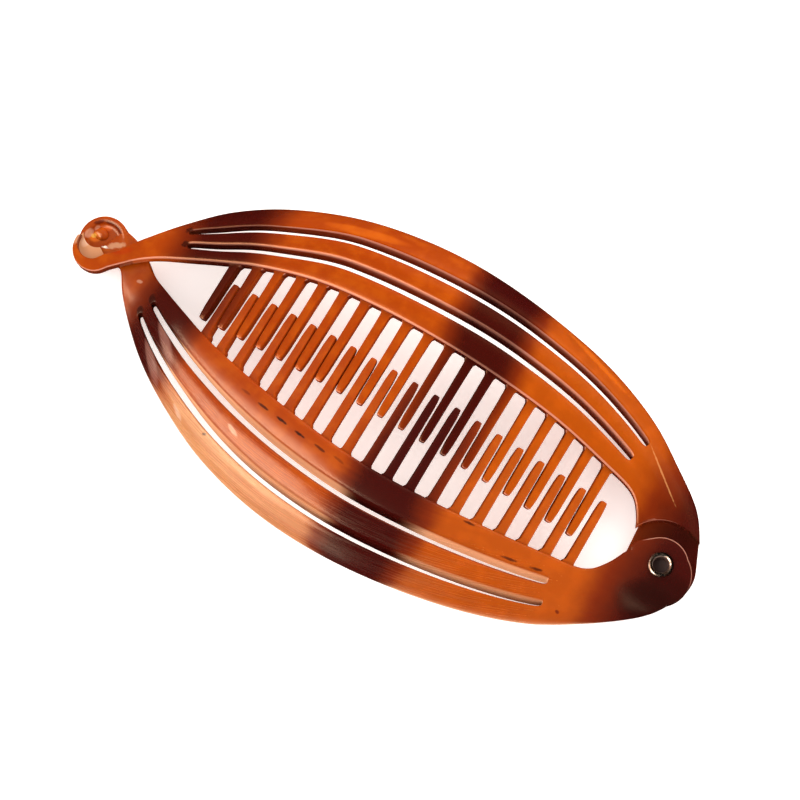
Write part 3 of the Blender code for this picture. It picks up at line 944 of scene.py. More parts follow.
@dataclass
class KnobArm(Arm):
    """The arm whose tail carries the knob below the hook, and whose other end is the disc.

    Attributes:
        tail_down: how far the tail runs below the arch.
        tail_from: where along the clip the arm starts to fall.
        tail_to: where it reaches the tail's level.
        knob_at: middle of the knob.
        knob: its radius.
        knob_rim: width of its rim.
        knob_hollow: depth of its hollow.
        hollow_narrows: the hollow's width at its floor, as a share of that at its top.
        knob_round: width of the rounding along the knob's edges.
        boss_at: middle of the boss in the hollow.
        boss_down: how far its middle lies below the knob's top.
        boss: its radius.
        boss_shape: how that is drawn out in length, width and height.
        disc: radius of the disc round the rivet.
        disc_top: height of the disc's top.
        throat: the circle that the disc runs on to.
        pad: the circle of the bulge at the arm's outer edge.
        hole: radius of the rivet's hole.
        room: radius of the room for the tongue below the disc.
        level_within: the top is level with the disc this near to it.
        level_fades: past that it comes to the arch's height over this distance.
        end_fades: and over this share of a step at the arm's end.
    """

    tail_down: float = 3.0
    tail_from: float = 25.0
    tail_to: float = 12.0
    knob_at: Point = (-0.5, 0.6)
    knob: float = 5.1
    knob_rim: float = 1.2
    knob_hollow: float = 1.1
    hollow_narrows: float = 0.86
    knob_round: float = 0.48
    boss_at: Point = (-1.9, 1.6)
    boss_down: float = 1.35
    boss: float = 1.5
    boss_shape: tuple[float, float, float] = (1.15, 0.9, 0.8)
    disc: float = 5.25
    disc_top: float = 6.02
    throat: tuple[Point, float] = ((123.4, 0.1), 1.9)
    pad: tuple[Point, float] = ((128.7, -2.0), 6.0)
    hole: float = 2.15
    room: float = 8.8
    level_within: float = 0.3
    level_fades: float = 3.2
    end_fades: float = 0.45

    def lowered(self, x: float) -> float:
        """How far the arm lies below the arch at x: its tail passes under the hook arm."""
        return self.tail_down * eased((self.tail_from - x) / (self.tail_from - self.tail_to))

    def levelled(self, x: float, y: float, z: float, place: float) -> float:
        """Brings the top level with the disc near it, and below it at the arm's end.

        Args:
            x: where along the clip.
            y: where across it.
            z: the height that the arch gives there.
            place: where the station lies among the sections.

        Returns:
            The height of the top.
        """
        circles = ((RIVET_AT, self.disc), self.throat, self.pad)
        away = min(math.hypot(x - middle[0], y - middle[1]) - radius for middle, radius in circles)
        to_end = len(self.sections) - 1 - place
        near = eased(1 - (away - self.level_within) / self.level_fades)
        return z + (self.disc_top + APART - z) * (near * eased(to_end / self.end_fades))

    def knob_dish(self) -> Thing:
        """Models the knob without its boss.

        Returns:
            A round plate with a rolled rim and a hollow.
        """
        dish = Bench.drum("knob", self.knob_at, self.knob, 0.0, LOWER_TOP, 64)
        middle = metres(*self.knob_at, LOWER_TOP)
        with Bench.editing(dish, Pick.FACES):
            Bench.faces(dish, lambda place, normal: normal.z > 0.9)
            bpy.ops.mesh.inset(thickness=self.knob_rim * MM, depth=0.0)
            bpy.ops.mesh.extrude_region_move(
                TRANSFORM_OT_translate={"value": (0.0, 0.0, -self.knob_hollow * MM)}
            )
            narrower = (self.hollow_narrows, self.hollow_narrows, 1.0)
            bpy.ops.transform.resize(value=narrower, center_override=middle)
        Bench.round_edges(dish, self.knob_round, 4, 30.0)
        return dish

    def knob_boss(self) -> Thing:
        """Models the boss.

        Returns:
            The low dome in the knob's hollow.
        """
        Bench.alone()
        middle = metres(*self.boss_at, LOWER_TOP - self.boss_down)
        bpy.ops.mesh.primitive_uv_sphere_add(
            segments=32, ring_count=16, radius=self.boss * MM, location=middle
        )
        bpy.context.view_layer.objects.active.scale = self.boss_shape
        return Bench.added("knob_boss")

    def ends(self, thing: Thing) -> None:
        """Adds the disc, the knob and its boss, and cuts the room below the disc and the rivet's hole.

        Args:
            thing: the arm with its teeth.
        """
        low = LOWER_TOP + GAP
        Bench.combine(thing, Bench.drum("room_below", RIVET_AT, self.room, -1.0, low, 96), Joining.CUT)
        disc = Bench.belt("disc", ((RIVET_AT, self.disc), self.throat), low, self.disc_top)
        Bench.round_edges(disc, 0.3, 3)
        Bench.combine(thing, disc, Joining.ADD)
        pad = Bench.drum("pad", *self.pad, low, self.disc_top - APART)
        Bench.round_edges(pad, 0.3, 3)
        Bench.combine(thing, pad, Joining.ADD)
        Bench.combine(thing, self.knob_dish(), Joining.ADD)
        Bench.combine(thing, self.knob_boss(), Joining.ADD)
        Bench.combine(thing, Bench.drum("hole", RIVET_AT, self.hole, -1.0, 9.0), Joining.CUT)


@dataclass
class Eyelet:
    """The metal rivet: a tube with a flat flange below, a rolled lip above, and a plug across its bore.

    Attributes:
        bore: radius of the tube's inside.
        wall: thickness of its wall.
        low: height of the lower flange's underside.
        high: height of the rolled lip's top.
        bottom: height of the bore's floor.
        lip: how far each ring of the rolled lip lies beyond the last, and how much wider it is.
        flange: the same for the lower flange.
    """

    bore: float = 1.45
    wall: float = 0.4
    low: float = 0.30
    high: float = 6.57
    bottom: float = 3.4
    lip: tuple[Point, ...] = ((0.22, 1.03), (0.10, 1.12), (0.0, 1.10), (-0.10, 1.07), (-0.14, 1.02))
    flange: tuple[Point, ...] = ((0.22, 1.05), (0.05, 1.15), (0.0, 1.14))

    def build(self) -> Thing:
        """Models the rivet.

        Returns:
            The finished piece, one closed mesh.
        """
        Bench.alone()
        bpy.ops.mesh.primitive_cylinder_add(
            vertices=48,
            radius=(self.bore + self.wall / 2) * MM,
            depth=(self.high - self.low - 1.0) * MM,
            end_fill_type="NOTHING",
            location=metres(*RIVET_AT, (self.high + self.low) / 2),
        )
        thing = Bench.added("eyelet")
        self.roll(thing, 1, self.lip)
        self.roll(thing, -1, self.flange)
        Bench.outwards(thing)
        Bench.apply(thing, "SOLIDIFY", thickness=self.wall * 0.8 * MM, offset=0.0)
        Bench.refine(thing, 2)
        Bench.outwards(thing)
        plug = Bench.drum("plug", RIVET_AT, self.bore + self.wall / 2, self.low + 0.4, self.bottom)
        Bench.combine(thing, plug, Joining.ADD)
        Bench.polish(thing, 60.0)
        return thing

    @staticmethod
    def roll(thing: Thing, way: int, steps: tuple[Point, ...]) -> None:
        """Draws one open end of the tube outwards.

        Args:
            thing: the tube.
            way: 1 for its upper end, -1 for its lower one.
            steps: how far each new ring lies beyond the last one, and how much wider it is.
        """
        middle = metres(*RIVET_AT, 0.0)
        for rise, wider in steps:
            with Bench.editing(thing, Pick.EDGES):
                mesh = bmesh.from_edit_mesh(thing.data)
                half = sum(vertex.co.z for vertex in mesh.verts) / len(mesh.verts)
                for edge in mesh.edges:
                    edge.select_set(edge.is_boundary and (edge.verts[0].co.z > half) == (way > 0))
                bmesh.update_edit_mesh(thing.data)
                bpy.ops.mesh.extrude_edges_move(TRANSFORM_OT_translate={"value": (0.0, 0.0, way * rise * MM)})
                bpy.ops.transform.resize(value=(wider, wider, 1.0), center_override=middle)


class Value:
    """A number that varies over a surface. Maths on it adds Math nodes to its paint."""

    def __init__(self, paint: "Paint", socket: bpy.types.NodeSocket) -> None:
        """Wraps one output socket of a paint's node."""
        self.paint = paint
        self.socket = socket

    def maths(self, operation: str, *operands: "Value | float") -> "Value":
        """One Math node on these operands."""
        return self.paint.node("ShaderNodeMath", {"operation": operation}, dict(enumerate(operands)))

    def __add__(self, other: "Value | float") -> "Value":
        """This plus the other."""
        return self.maths("ADD", self, other)

    def __radd__(self, other: float) -> "Value":
        """The other plus this."""
        return self.maths("ADD", other, self)

    def __sub__(self, other: "Value | float") -> "Value":
        """This less the other."""
        return self.maths("SUBTRACT", self, other)

    def __rsub__(self, other: float) -> "Value":
        """The other less this."""
        return self.maths("SUBTRACT", other, self)

    def __mul__(self, other: "Value | float") -> "Value":
        """This times the other."""
        return self.maths("MULTIPLY", self, other)

    def __rmul__(self, other: float) -> "Value":
        """The other times this."""
        return self.maths("MULTIPLY", other, self)

    def __pow__(self, other: float) -> "Value":
        """This to a power."""
        return self.maths("POWER", self, other)

    def size(self) -> "Value":
        """This without its sign."""
        return self.maths("ABSOLUTE", self)

    def most(self, other: "Value | float") -> "Value":
        """The larger of this and the other."""
        return self.maths("MAXIMUM", self, other)

    def between(self, low: float, high: float) -> "Value":
        """A smooth step between two values of this.

        Args:
            low: where the step is 0. It may be the larger one.
            high: where the step is 1.

        Returns:
            The step, from 0 to 1.
        """
        settings = {"interpolation_type": "SMOOTHSTEP"}
        ends = (low, high, 0.0, 1.0) if low <= high else (high, low, 1.0, 0.0)
        return self.paint.node("ShaderNodeMapRange", settings, dict(enumerate((self, *ends))))


class Paint:
    """One material under construction."""

    def __init__(self, name: str) -> None:
        """Starts a material with an empty node tree.

        Args:
            name: the material's name.
        """
        self.material = bpy.data.materials.new(name)
        self.material.use_nodes = True
        self.tree = self.material.node_tree
        self.tree.nodes.clear()

    def node(self, kind: str, settings: dict, sockets: dict, output: int | str = 0) -> Value:
        """Adds a node.

        Args:
            kind: the node's type.
            settings: its properties by name, set first.
            sockets: values or links of its inputs, by name or number.
            output: the output that is given back.

        Returns:
            The wrapped output socket.
        """
        made = self.tree.nodes.new(kind)
        for name, value in settings.items():
            setattr(made, name, value)
        for name, value in sockets.items():
            socket = made.inputs[name]
            if isinstance(value, Value):
                self.tree.links.new(value.socket, socket)
            elif isinstance(value, tuple) and len(value) == 3 and socket.type == "RGBA":
                socket.default_value = (*value, 1.0)
            else:
                socket.default_value = value
        return Value(self, made.outputs[output]) if made.outputs else Value(self, None)

    def place(self) -> tuple[Value, Value, Value, Value]:
        """Finds where the surface lies.

        Returns:
            The point in the piece's own frame, and its x, y and z in plan millimetres.
        """
        point = self.node("ShaderNodeTexCoord", {}, {}, "Object")
        parts = self.node("ShaderNodeSeparateXYZ", {}, {0: point})
        outputs = parts.socket.node.outputs
        x, y, z = (Value(self, outputs[i]) * (1 / MM) for i in range(3))
        return point, x + MIDDLE_X, y, z

    def noise(self, point: Value, scale: float, detail: float) -> Value:
        """Smooth noise from 0 to 1, mostly near 0.5."""
        sockets = {"Vector": point, "Scale": scale, "Detail": detail, "Roughness": 0.5}
        return self.node("ShaderNodeTexNoise", {}, sockets)

    def joined(self, x: Value, y: Value, z: Value) -> Value:
        """A point made of three numbers."""
        return self.node("ShaderNodeCombineXYZ", {}, {0: x, 1: y, 2: z})

    def mix(self, factor: Value | float, a: Value | Colour, b: Value | Colour) -> Value:
        """The colour a, turning to b as the factor goes to 1."""
        return self.node("ShaderNodeMix", {"data_type": "RGBA"}, {0: factor, 6: a, 7: b}, 2)

    def surface(self, sockets: dict) -> bpy.types.Material:
        """Ends the paint in a Principled surface.

        Args:
            sockets: values or links of the surface's inputs, by name.

        Returns:
            The finished material.
        """
        shader = self.node("ShaderNodeBsdfPrincipled", {}, sockets)
        self.node("ShaderNodeOutputMaterial", {}, {"Surface": shader})
        return self.material


ARM_BOW, ARM_MIDDLE = 0.0055, 67.0  # how much the arms bow, and where they bow furthest out
COMB_BOW, COMB_MIDDLE = 0.0033, 70.0  # the same for the line of the teeth's roots
RAGGED_UNDER = 0.8  # marks of less than this half width have ragged edges
ANY_HEIGHT = 99.0
CLOUD_RAGS = (95.0, 4.0)  # each noise's fineness and detail
MOTTLE = (300.0, 5.0)
MARK_RAGS = (1300.0, 3.0)
GRAIN = (1500.0, 2.0)
WAVES = (170.0, 2.0)
TARNISH = (900.0, 4.0)


class Band(NamedTuple):
    """One dark cloud in the tortoiseshell: an ellipse in plan with soft, ragged edges.

    Attributes:
        x: where its middle lies along the clip.
        y: where it lies across it.
        half_length: half its length.
        half_width: half its width.
        turn: from the clip's length to its own, in degrees.
        strength: how dark it is in its middle, from 0 to 1.
    """

    x: float
    y: float
    half_length: float
    half_width: float
    turn: float
    strength: float


class Mark(NamedTuple):
    """One small patch of another colour on top of the plastic: an ellipse in plan. Some patches are painted
    highlights and painted shade.

    Attributes:
        x: where its middle lies along the clip.
        y: where it lies across it.
        half_length: half its length.
        half_width: half its width.
        turn: from the clip's length to its own, in degrees.
        strength: how much of its colour shows in its middle, from 0 to 1.
        colour: its colour.
        below: only what lies lower than this is marked.
    """

    x: float
    y: float
    half_length: float
    half_width: float
    turn: float
    strength: float
    colour: Colour
    below: float = ANY_HEIGHT


class Spot(NamedTuple):
    """Where a point of the surface lies and how it faces, as values of its paint.

    Attributes:
        point: the point in the piece's own frame, in metres.
        x: where it lies along the clip, in plan millimetres.
        y: where it lies across it.
        z: its height.
        bow: how far out it lies, the same all along a line that bows as the arms do.
        teeth: 1 on the teeth and 0 on the arms.
        rise: how much the surface faces up, from -1 to 1.
        facing: how much it faces the back, from -1 to 1.
    """

    point: Value
    x: Value
    y: Value
    z: Value
    bow: Value
    teeth: Value
    rise: Value
    facing: Value


@dataclass(frozen=True)
class Tortoiseshell:
    """Polished amber plastic with dark clouds, and painted light and shade on its walls, its edges and some
    of its marks.

    Attributes:
        name: the material's name.
        bands: its dark clouds.
        marks: its small patches of other colours.
        front_wall: the painted light and shade on the upright walls that face the front.
        tint: the colour of what it mirrors.
        lip: how strong the painted highlight on its rounded front edges is.
        streaks_and_painted_light: how strongly its drawn streaks show, together with the painted reflection
            on its outer rib's flank, the painted shade on its rounded back edges and the painted highlight on
            its disc's rim.
        flank_painted_sheen: the colour of the painted reflection on the outer rib's flank.
        amber: the plain colour on the clasp's side.
        honey: the plain colour on the hinge's side.
        bright: the colour where it is lightest.
        red: the colour at a cloud's edge, and the painted shade on the rounded back edges.
        dark: the colour in a cloud.
        shade: the painted shade on the other upright walls.
        comb: the painted light on the teeth's upright walls, lighter as if light came through the plastic.
        pale: the colour of the painted highlights on the rounded front edges and on the disc's rim.
        glow: the painted glow of the front walls, given off as if light came through them.
    """

    name: str
    bands: tuple[Band, ...]
    marks: tuple[Mark, ...]
    # Painted shade by default: dark red walls facing the front
    front_wall: Colour = (0.17, 0.018, 0.004)
    tint: Colour = (1.0, 0.44, 0.18)
    lip: float = 0.6
    streaks_and_painted_light: float = 0.0
    flank_painted_sheen: Colour = (0.74, 0.37, 0.16)
    amber: Colour = (0.325, 0.038, 0.0007)
    honey: Colour = (0.345, 0.055, 0.0012)
    bright: Colour = (0.43, 0.070, 0.0016)
    red: Colour = (0.16, 0.0150, 0.0015)
    dark: Colour = (0.043, 0.0020, 0.0016)
    shade: Colour = (0.14, 0.016, 0.003)
    comb: Colour = (0.40, 0.058, 0.005)
    pale: Colour = (0.80, 0.36, 0.25)
    glow: Colour = BLACK

    @staticmethod
    def spot(paint: Paint) -> Spot:
        """Works out where the surface lies and how it faces.

        Args:
            paint: the paint that the nodes go in.

        Returns:
            The values that the other methods build on.
        """
        point, x, y, z = paint.place()
        out = y.size()
        normal = paint.node("ShaderNodeTexCoord", {}, {}, "Normal")
        return Spot(
            point=point,
            x=x,
            y=y,
            z=z,
            bow=out + ARM_BOW * ((x - ARM_MIDDLE) * (x - ARM_MIDDLE)),
            teeth=(out + COMB_BOW * ((x - COMB_MIDDLE) * (x - COMB_MIDDLE))).between(13.6, 13.1),
            rise=paint.node("ShaderNodeSeparateXYZ", {}, {0: normal}, 2),
            facing=paint.node("ShaderNodeSeparateXYZ", {}, {0: normal}, 1),
        )

    @staticmethod
    def ellipse(x: Value, y: Value, patch: Band | Mark) -> Value:
        """Measures how far out from a patch's middle the surface lies.

        Args:
            x: where it lies along the clip.
            y: where it lies across it.
            patch: the patch.

        Returns:
            The square of the distance, 1 on the patch's outline.
        """
        cosine, sine = math.cos(math.radians(patch.turn)), math.sin(math.radians(patch.turn))
        off_x, off_y = x - patch.x, y - patch.y
        along = (off_x * cosine + off_y * sine) * (1 / patch.half_length)
        across = (off_y * cosine - off_x * sine) * (1 / patch.half_width)
        return along * along + across * across

    def cloud(self, x: Value, y: Value, warp: Value) -> Value:
        """Lays out the dark clouds.

        Args:
            x: where the surface lies along the clip.
            y: where it lies across it.
            warp: what makes the clouds' edges ragged.

        Returns:
            How dark the plastic is, from 0 to 1.
        """
        masks = [
            (self.ellipse(x, y, band) ** 0.5 + warp).between(1.9, 0.45) * band.strength for band in self.bands
        ]
        darkness = masks[0]
        for mask in masks[1:]:
            darkness = darkness.most(mask)
        return darkness

    def lines(self, paint: Paint, spot: Spot) -> tuple[Value, Value]:
        """Lays the fine lines that run along an arm, where the plastic was drawn out in the mould.

        Args:
            paint: the paint that the nodes go in.
            spot: where the surface lies.

        Returns:
            The streaks and the finer hairlines, each 0.5 where there are none.
        """
        streaks = paint.noise(paint.joined(0.04 * spot.x, 1.1 * spot.bow, 0.1 * spot.z), 1.0, 4.0)
        hairlines = paint.noise(paint.joined(0.15 * spot.x, 4.5 * spot.bow, 0.3 * spot.z), 1.0, 3.0)
        drawn = (1.0 - spot.teeth) * spot.x.between(13.0, 22.0) * spot.x.between(120.0, 90.0)
        streaks = 0.5 + (streaks - 0.5) * drawn * (0.35 + 0.65 * self.streaks_and_painted_light)
        hairlines = 0.5 + (hairlines - 0.5) * drawn * spot.bow.between(19.0, 25.0) * self.streaks_and_painted_light
        return streaks, hairlines

    def mass(self, paint: Paint, spot: Spot, streaks: Value, darkness: Value) -> Value:
        """Colours the plastic itself: amber, mottled, with a painted reflection on the outer rib's flank, and
        dark in the clouds.

        Args:
            paint: the paint that the nodes go in.
            spot: where the surface lies.
            streaks: the streaks.
            darkness: how dark the plastic is.

        Returns:
            The colour.
        """
        mottle = 0.7 * paint.noise(spot.point, *MOTTLE) + 0.3 * streaks
        plain = paint.mix(spot.x.between(50.0, 100.0), self.amber, self.honey)
        body = paint.mix(mottle.between(0.42, 0.66) * 0.7, plain, self.bright)
        # Painted reflection: a pale peach wash along the outer rib's flank, where it would mirror the light
        # in front
        flank = spot.bow.between(24.3, 27.0) * spot.x.between(24.0, 36.0) * spot.x.between(102.0, 42.0)
        body = paint.mix(flank * (0.35 + 0.9 * (streaks - 0.25)) * self.streaks_and_painted_light, body, self.flank_painted_sheen)
        smoky = paint.mix(darkness.between(0.0, 0.5), body, self.red)
        return paint.mix(darkness.between(0.35, 1.0), smoky, self.dark)

    def walled(self, paint: Paint, spot: Spot, colour: Value, darkness: Value) -> tuple[Value, Value]:
        """Paints light and shade on the upright walls of the teeth, the slots and the edges.

        Args:
            paint: the paint that the nodes go in.
            spot: how the surface faces.
            colour: the colour so far.
            darkness: how dark the plastic is.

        Returns:
            The colour with the painted walls, and the painted glow of the front ones.
        """
        # Painted light and shade on the upright walls: front walls take their own painted colour, the teeth's
        # walls a lighter one, the rest painted shade
        front = spot.facing.between(-0.3, -0.6) * darkness.between(1.0, 0.2) * spot.x.between(16.0, 24.0)
        wall = paint.mix(spot.teeth * 0.95, paint.mix(front, self.shade, self.front_wall), self.comb)
        wall = paint.mix(darkness.between(0.3, 1.0) * 0.9, wall, self.dark)
        walls = spot.rise.size().between(0.62, 0.25)
        # Painted glow: the front walls give off light of their own
        glow = paint.mix(front * walls * spot.bow.between(26.5, 25.5), BLACK, self.glow)
        return paint.mix(walls * 0.85, colour, wall), glow

    def lipped(self, paint: Paint, spot: Spot, colour: Value, darkness: Value) -> Value:
        """Paints light and shade on the rounded edges: painted highlights on those in front and round the
        disc, painted shade in red on those behind.

        Args:
            paint: the paint that the nodes go in.
            spot: how the surface faces.
            colour: the colour so far.
            darkness: how dark the plastic is.

        Returns:
            The colour with the painted highlights and shade on the rounded edges.
        """
        rounding = spot.rise.between(0.2, 0.45)
        # Painted highlight on the rounded edges that face the front
        lips = spot.facing.between(-0.25, -0.5) * rounding * (1.0 - 0.6 * darkness)
        colour = paint.mix(lips * self.lip, colour, self.pale)
        # Painted shade in red on the rounded edges that face the back
        back_lips = spot.facing.between(0.25, 0.5) * rounding * spot.y.between(-14.0, -15.5)
        colour = paint.mix(back_lips * 0.7 * self.streaks_and_painted_light, colour, self.red)
        # Painted highlight on the disc's rim
        rims = spot.facing.between(-0.1, 0.2) * spot.rise.between(0.12, 0.35) * spot.rise.between(0.97, 0.85)
        rims = rims * spot.x.between(122.5, 124.0) * spot.x.between(140.0, 128.0)
        return paint.mix(rims * 0.5 * self.streaks_and_painted_light, colour, self.pale)

    def marked(self, paint: Paint, spot: Spot, colour: Value) -> Value:
        """Puts the marks on what faces up. Small ones have ragged edges.

        Args:
            paint: the paint that the nodes go in.
            spot: where the surface lies and how it faces.
            colour: the colour so far.

        Returns:
            The colour with the marks.
        """
        upward = spot.rise.between(0.1, 0.4)
        ragged = (paint.noise(spot.point, *MARK_RAGS) - 0.5) * 1.7
        for mark in self.marks:
            mask = self.ellipse(spot.x, spot.y, mark) + (ragged if mark.half_width < RAGGED_UNDER else 0.0)
            mask = mask.between(1.15, 0.2) * upward * mark.strength
            if mark.below < ANY_HEIGHT:
                mask = mask * spot.z.between(mark.below, mark.below - 0.1)
            colour = paint.mix(mask, colour, mark.colour)
        return colour

    def paint(self) -> bpy.types.Material:
        """Mixes the whole finish.

        Returns:
            The finished material.
        """
        paint = Paint(self.name)
        spot = self.spot(paint)
        streaks, hairlines = self.lines(paint, spot)
        warp = (paint.noise(spot.point, *CLOUD_RAGS) - 0.5) * 0.6 + (streaks - 0.5) * 0.3
        darkness = self.cloud(spot.x, spot.y, warp)
        colour = self.mass(paint, spot, streaks, darkness)
        colour, glow = self.walled(paint, spot, colour, darkness)
        colour = self.lipped(paint, spot, colour, darkness)
        colour = self.marked(paint, spot, colour)
        grain = paint.noise(spot.point, *GRAIN)
        height = paint.noise(spot.point, *WAVES) + grain * 0.08 + hairlines * 0.14
        bump = paint.node("ShaderNodeBump", {}, {"Strength": 0.3, "Distance": 0.00012, "Height": height})
        return paint.surface(
            {
                "Base Color": colour,
                "Roughness": 0.12 + 0.20 * hairlines.between(0.3, 0.7) + 0.06 * grain,
                "Normal": bump,
                "IOR": 1.49,
                "Specular Tint": self.tint,
                "Emission Color": glow,
                "Emission Strength": 1.0,
                "Subsurface Weight": 0.1,
                "Subsurface Radius": (1.0, 0.3, 0.08),
                "Subsurface Scale": 0.0015,
                "Transmission Weight": 0.25,
            }
        )


@dataclass(frozen=True)
class EyeletMetal:
    """Polished steel with a warm cast, dulled in places, and painted shade in its bore.

    Attributes:
        name: the material's name.
        clean: the colour of the bright metal.
        dull: the colour where it is tarnished.
        painted_bore_shade: the painted shade in the bore.
    """

    name: str = "eyelet_metal"
    clean: Colour = (0.62, 0.50, 0.42)
    dull: Colour = (0.16, 0.09, 0.06)
    painted_bore_shade: Colour = (0.080, 0.026, 0.016)

    def paint(self) -> bpy.types.Material:
        """Mixes the whole finish.

        Returns:
            The finished material.
        """
        paint = Paint(self.name)
        point, x, y, z = paint.place()
        patches = paint.noise(point, *TARNISH).between(0.40, 0.58)
        off_x, off_y = x - RIVET_AT[0], y - RIVET_AT[1]
        radius = (off_x * off_x + off_y * off_y) ** 0.5
        # Painted shade down the bore, which turns matt and dark there
        inside = radius.between(Eyelet.bore + 0.3, Eyelet.bore) * z.between(6.5, 6.2)
        metal = paint.mix(patches, self.clean, self.dull)
        return paint.surface(
            {
                "Base Color": paint.mix(inside, metal, self.painted_bore_shade),
                "Metallic": 1.0 - inside,
                "Roughness": 0.18 + patches * 0.2 + inside * 0.3,
            }
        )


@dataclass(frozen=True)
class FloorPaper:
    """Pale matt paper that glows a little: the floor, and the card in front.

    Attributes:
        name: the material's name.
        shade: its colour.
        light: the colour of the light that comes through it.
        glow: how bright it is by itself, as paper lit from behind.
    """

    name: str = "floor_paper"
    shade: Colour = (0.85, 0.85, 0.85)
    light: Colour = (1.0, 0.85, 0.79)
    glow: float = 0.5

    def paint(self) -> bpy.types.Material:
        """Mixes the whole finish.

        Returns:
            The finished material.
        """
        paint = Paint(self.name)
        return paint.surface(
            {
                "Base Color": self.shade,
                "Roughness": 0.9,
                "Specular IOR Level": 0.1,
                "Emission Color": self.light,
                "Emission Strength": self.glow,
            }
        )


WARM = (1.0, 0.95, 0.88)
LEFT_AT = (-0.385, -0.45, 0.543)
LEFT_ACROSS = (0.81, 0.0, 0.585)
LAMPS_AIM = (0.0, 0.0, 0.01)
SENSOR = 36.0  # the camera's sensor, in millimetres
FRAME = 800.0  # the photograph's frame, in pixels


class Lamp(NamedTuple):
    """One soft rectangular light, aimed at the clip.

    Attributes:
        name: its name.
        place: where it stands.
        across: the way that its width runs.
        width: its width.
        height: its height.
        watts: its power.
        fills: whether it lights what it shines on.
        mirrored: whether it shows in the gloss.
    """

    name: str
    place: tuple[float, float, float]
    across: tuple[float, float, float]
    width: float
    height: float
    watts: float
    fills: bool
    mirrored: bool


@dataclass
class Studio:
    """The floor, the lights and the camera.

    Attributes:
        lamps: the soft lights.
        sky: brightness of the surrounding, which fills but isn't mirrored.
        front_card: brightness of the upright card in front.
        card_at: where the card's middle is.
        card_turn: its turn about the vertical, in degrees.
        card_size: its width and height.
        delta: the camera's turn about the clip's cross axis.
        tilt: its turn towards the clip's front.
        roll: its turn about its own axis.
        distance: from the target, in millimetres.
        pixels: pixels of the photograph's frame in a millimetre at the target.
        target: the point of the plan that the camera aims at.
        target_pixel: where that point falls in the frame of 800 by 800.
    """

    lamps: tuple[Lamp, ...] = (
        Lamp("left_card", LEFT_AT, LEFT_ACROSS, 0.767, 0.84, 19.0, fills=False, mirrored=True),
        Lamp("left_fill", LEFT_AT, LEFT_ACROSS, 0.767, 0.84, 6.0, fills=True, mirrored=False),
        Lamp("back_fill", (0.10, 0.62, 0.42), (1.0, 0.0, 0.0), 0.9, 0.5, 6.0, fills=True, mirrored=False),
        Lamp("right_fill", (0.74, -0.08, 0.33), (0.0, 1.0, 0.0), 0.7, 0.35, 3.5, fills=True, mirrored=False),
    )
    sky: float = 1.2
    front_card: float = 2.4
    card_at: tuple[float, float, float] = (-0.367, -0.567, 0.09)
    card_turn: float = -26.0
    card_size: Point = (1.0, 0.36)
    delta: float = 0.18699849
    tilt: float = 0.1637989931
    roll: float = -0.52316209
    distance: float = 350.0
    pixels: float = 5.2493938
    target: tuple[float, float, float] = (65.0, 0.0, 13.0)
    target_pixel: Point = (373.64269, 389.460759)

    def set_floor(self) -> None:
        """A wide pale floor under the clip."""
        Bench.alone()
        bpy.ops.mesh.primitive_plane_add(size=6.0, location=(0.0, 0.0, 0.0))
        floor = Bench.added("floor")
        floor.data.materials.append(FloorPaper().paint())
        floor.visible_glossy = False

    def set_lights(self) -> None:
        """The soft lights and the even surrounding."""
        for lamp in self.lamps:
            data = bpy.data.lights.new(lamp.name, "AREA")
            data.shape = "RECTANGLE"
            data.size = lamp.width
            data.size_y = lamp.height
            data.energy = lamp.watts
            data.color = WARM
            light = bpy.data.objects.new(lamp.name, data)
            away = (Vector(lamp.place) - Vector(LAMPS_AIM)).normalized()
            across = (Vector(lamp.across) - Vector(lamp.across).dot(away) * away).normalized()
            turn = Matrix((across, away.cross(across), away)).transposed().to_4x4()
            light.matrix_world = Matrix.Translation(lamp.place) @ turn
            light.visible_diffuse = lamp.fills
            light.visible_transmission = lamp.fills
            light.visible_glossy = lamp.mirrored
            bpy.context.scene.collection.objects.link(light)
        world = bpy.data.worlds.new("studio")
        world.use_nodes = True
        sky = world.node_tree.nodes["Background"]
        sky.inputs["Color"].default_value = (1.0, 1.0, 1.0, 1.0)
        sky.inputs["Strength"].default_value = self.sky
        bpy.context.scene.world = world
        world.cycles_visibility.glossy = False

    def set_card(self) -> None:
        """A bright upright card in front, out of the camera's sight."""
        Bench.alone()
        turn = (math.radians(90.0), 0.0, math.radians(self.card_turn))
        bpy.ops.mesh.primitive_plane_add(size=1.0, location=self.card_at, rotation=turn)
        bpy.context.view_layer.objects.active.scale = (*self.card_size, 1.0)
        card = Bench.added("front_card")
        card.data.materials.append(FloorPaper("card_paper", BLACK, WARM, self.front_card).paint())
        card.visible_camera = False
        card.visible_transmission = False
        card.visible_shadow = False

    def set_camera(self) -> None:
        """The camera at the photograph's angle."""
        back = Vector(
            (
                math.sin(self.delta) * math.cos(self.tilt),
                -math.sin(self.tilt),
                math.cos(self.delta) * math.cos(self.tilt),
            )
        )
        level = Vector((1.0, 0.0, 0.0))
        level = (level - level.dot(back) * back).normalized()
        above = back.cross(level)
        right = level * math.cos(self.roll) - above * math.sin(self.roll)
        up = level * math.sin(self.roll) + above * math.cos(self.roll)
        data = bpy.data.cameras.new("camera")
        data.sensor_width = SENSOR
        data.lens = SENSOR / FRAME * self.pixels * self.distance
        data.shift_x = (FRAME / 2 - self.target_pixel[0]) / FRAME
        data.shift_y = (self.target_pixel[1] - FRAME / 2) / FRAME
        data.clip_start = 0.001
        camera = bpy.data.objects.new("camera", data)
        turn = Matrix((right, up, back)).transposed().to_4x4()
        camera.matrix_world = Matrix.Translation(metres(*self.target) + back * self.distance * MM) @ turn
        bpy.context.scene.collection.objects.link(camera)
        bpy.context.scene.camera = camera

    def build(self) -> None:
        """Sets up the floor, the lights and the camera."""
        self.set_floor()
        self.set_card()
        self.set_lights()
        self.set_camera()
        bpy.context.scene.view_settings.view_transform = "Standard"
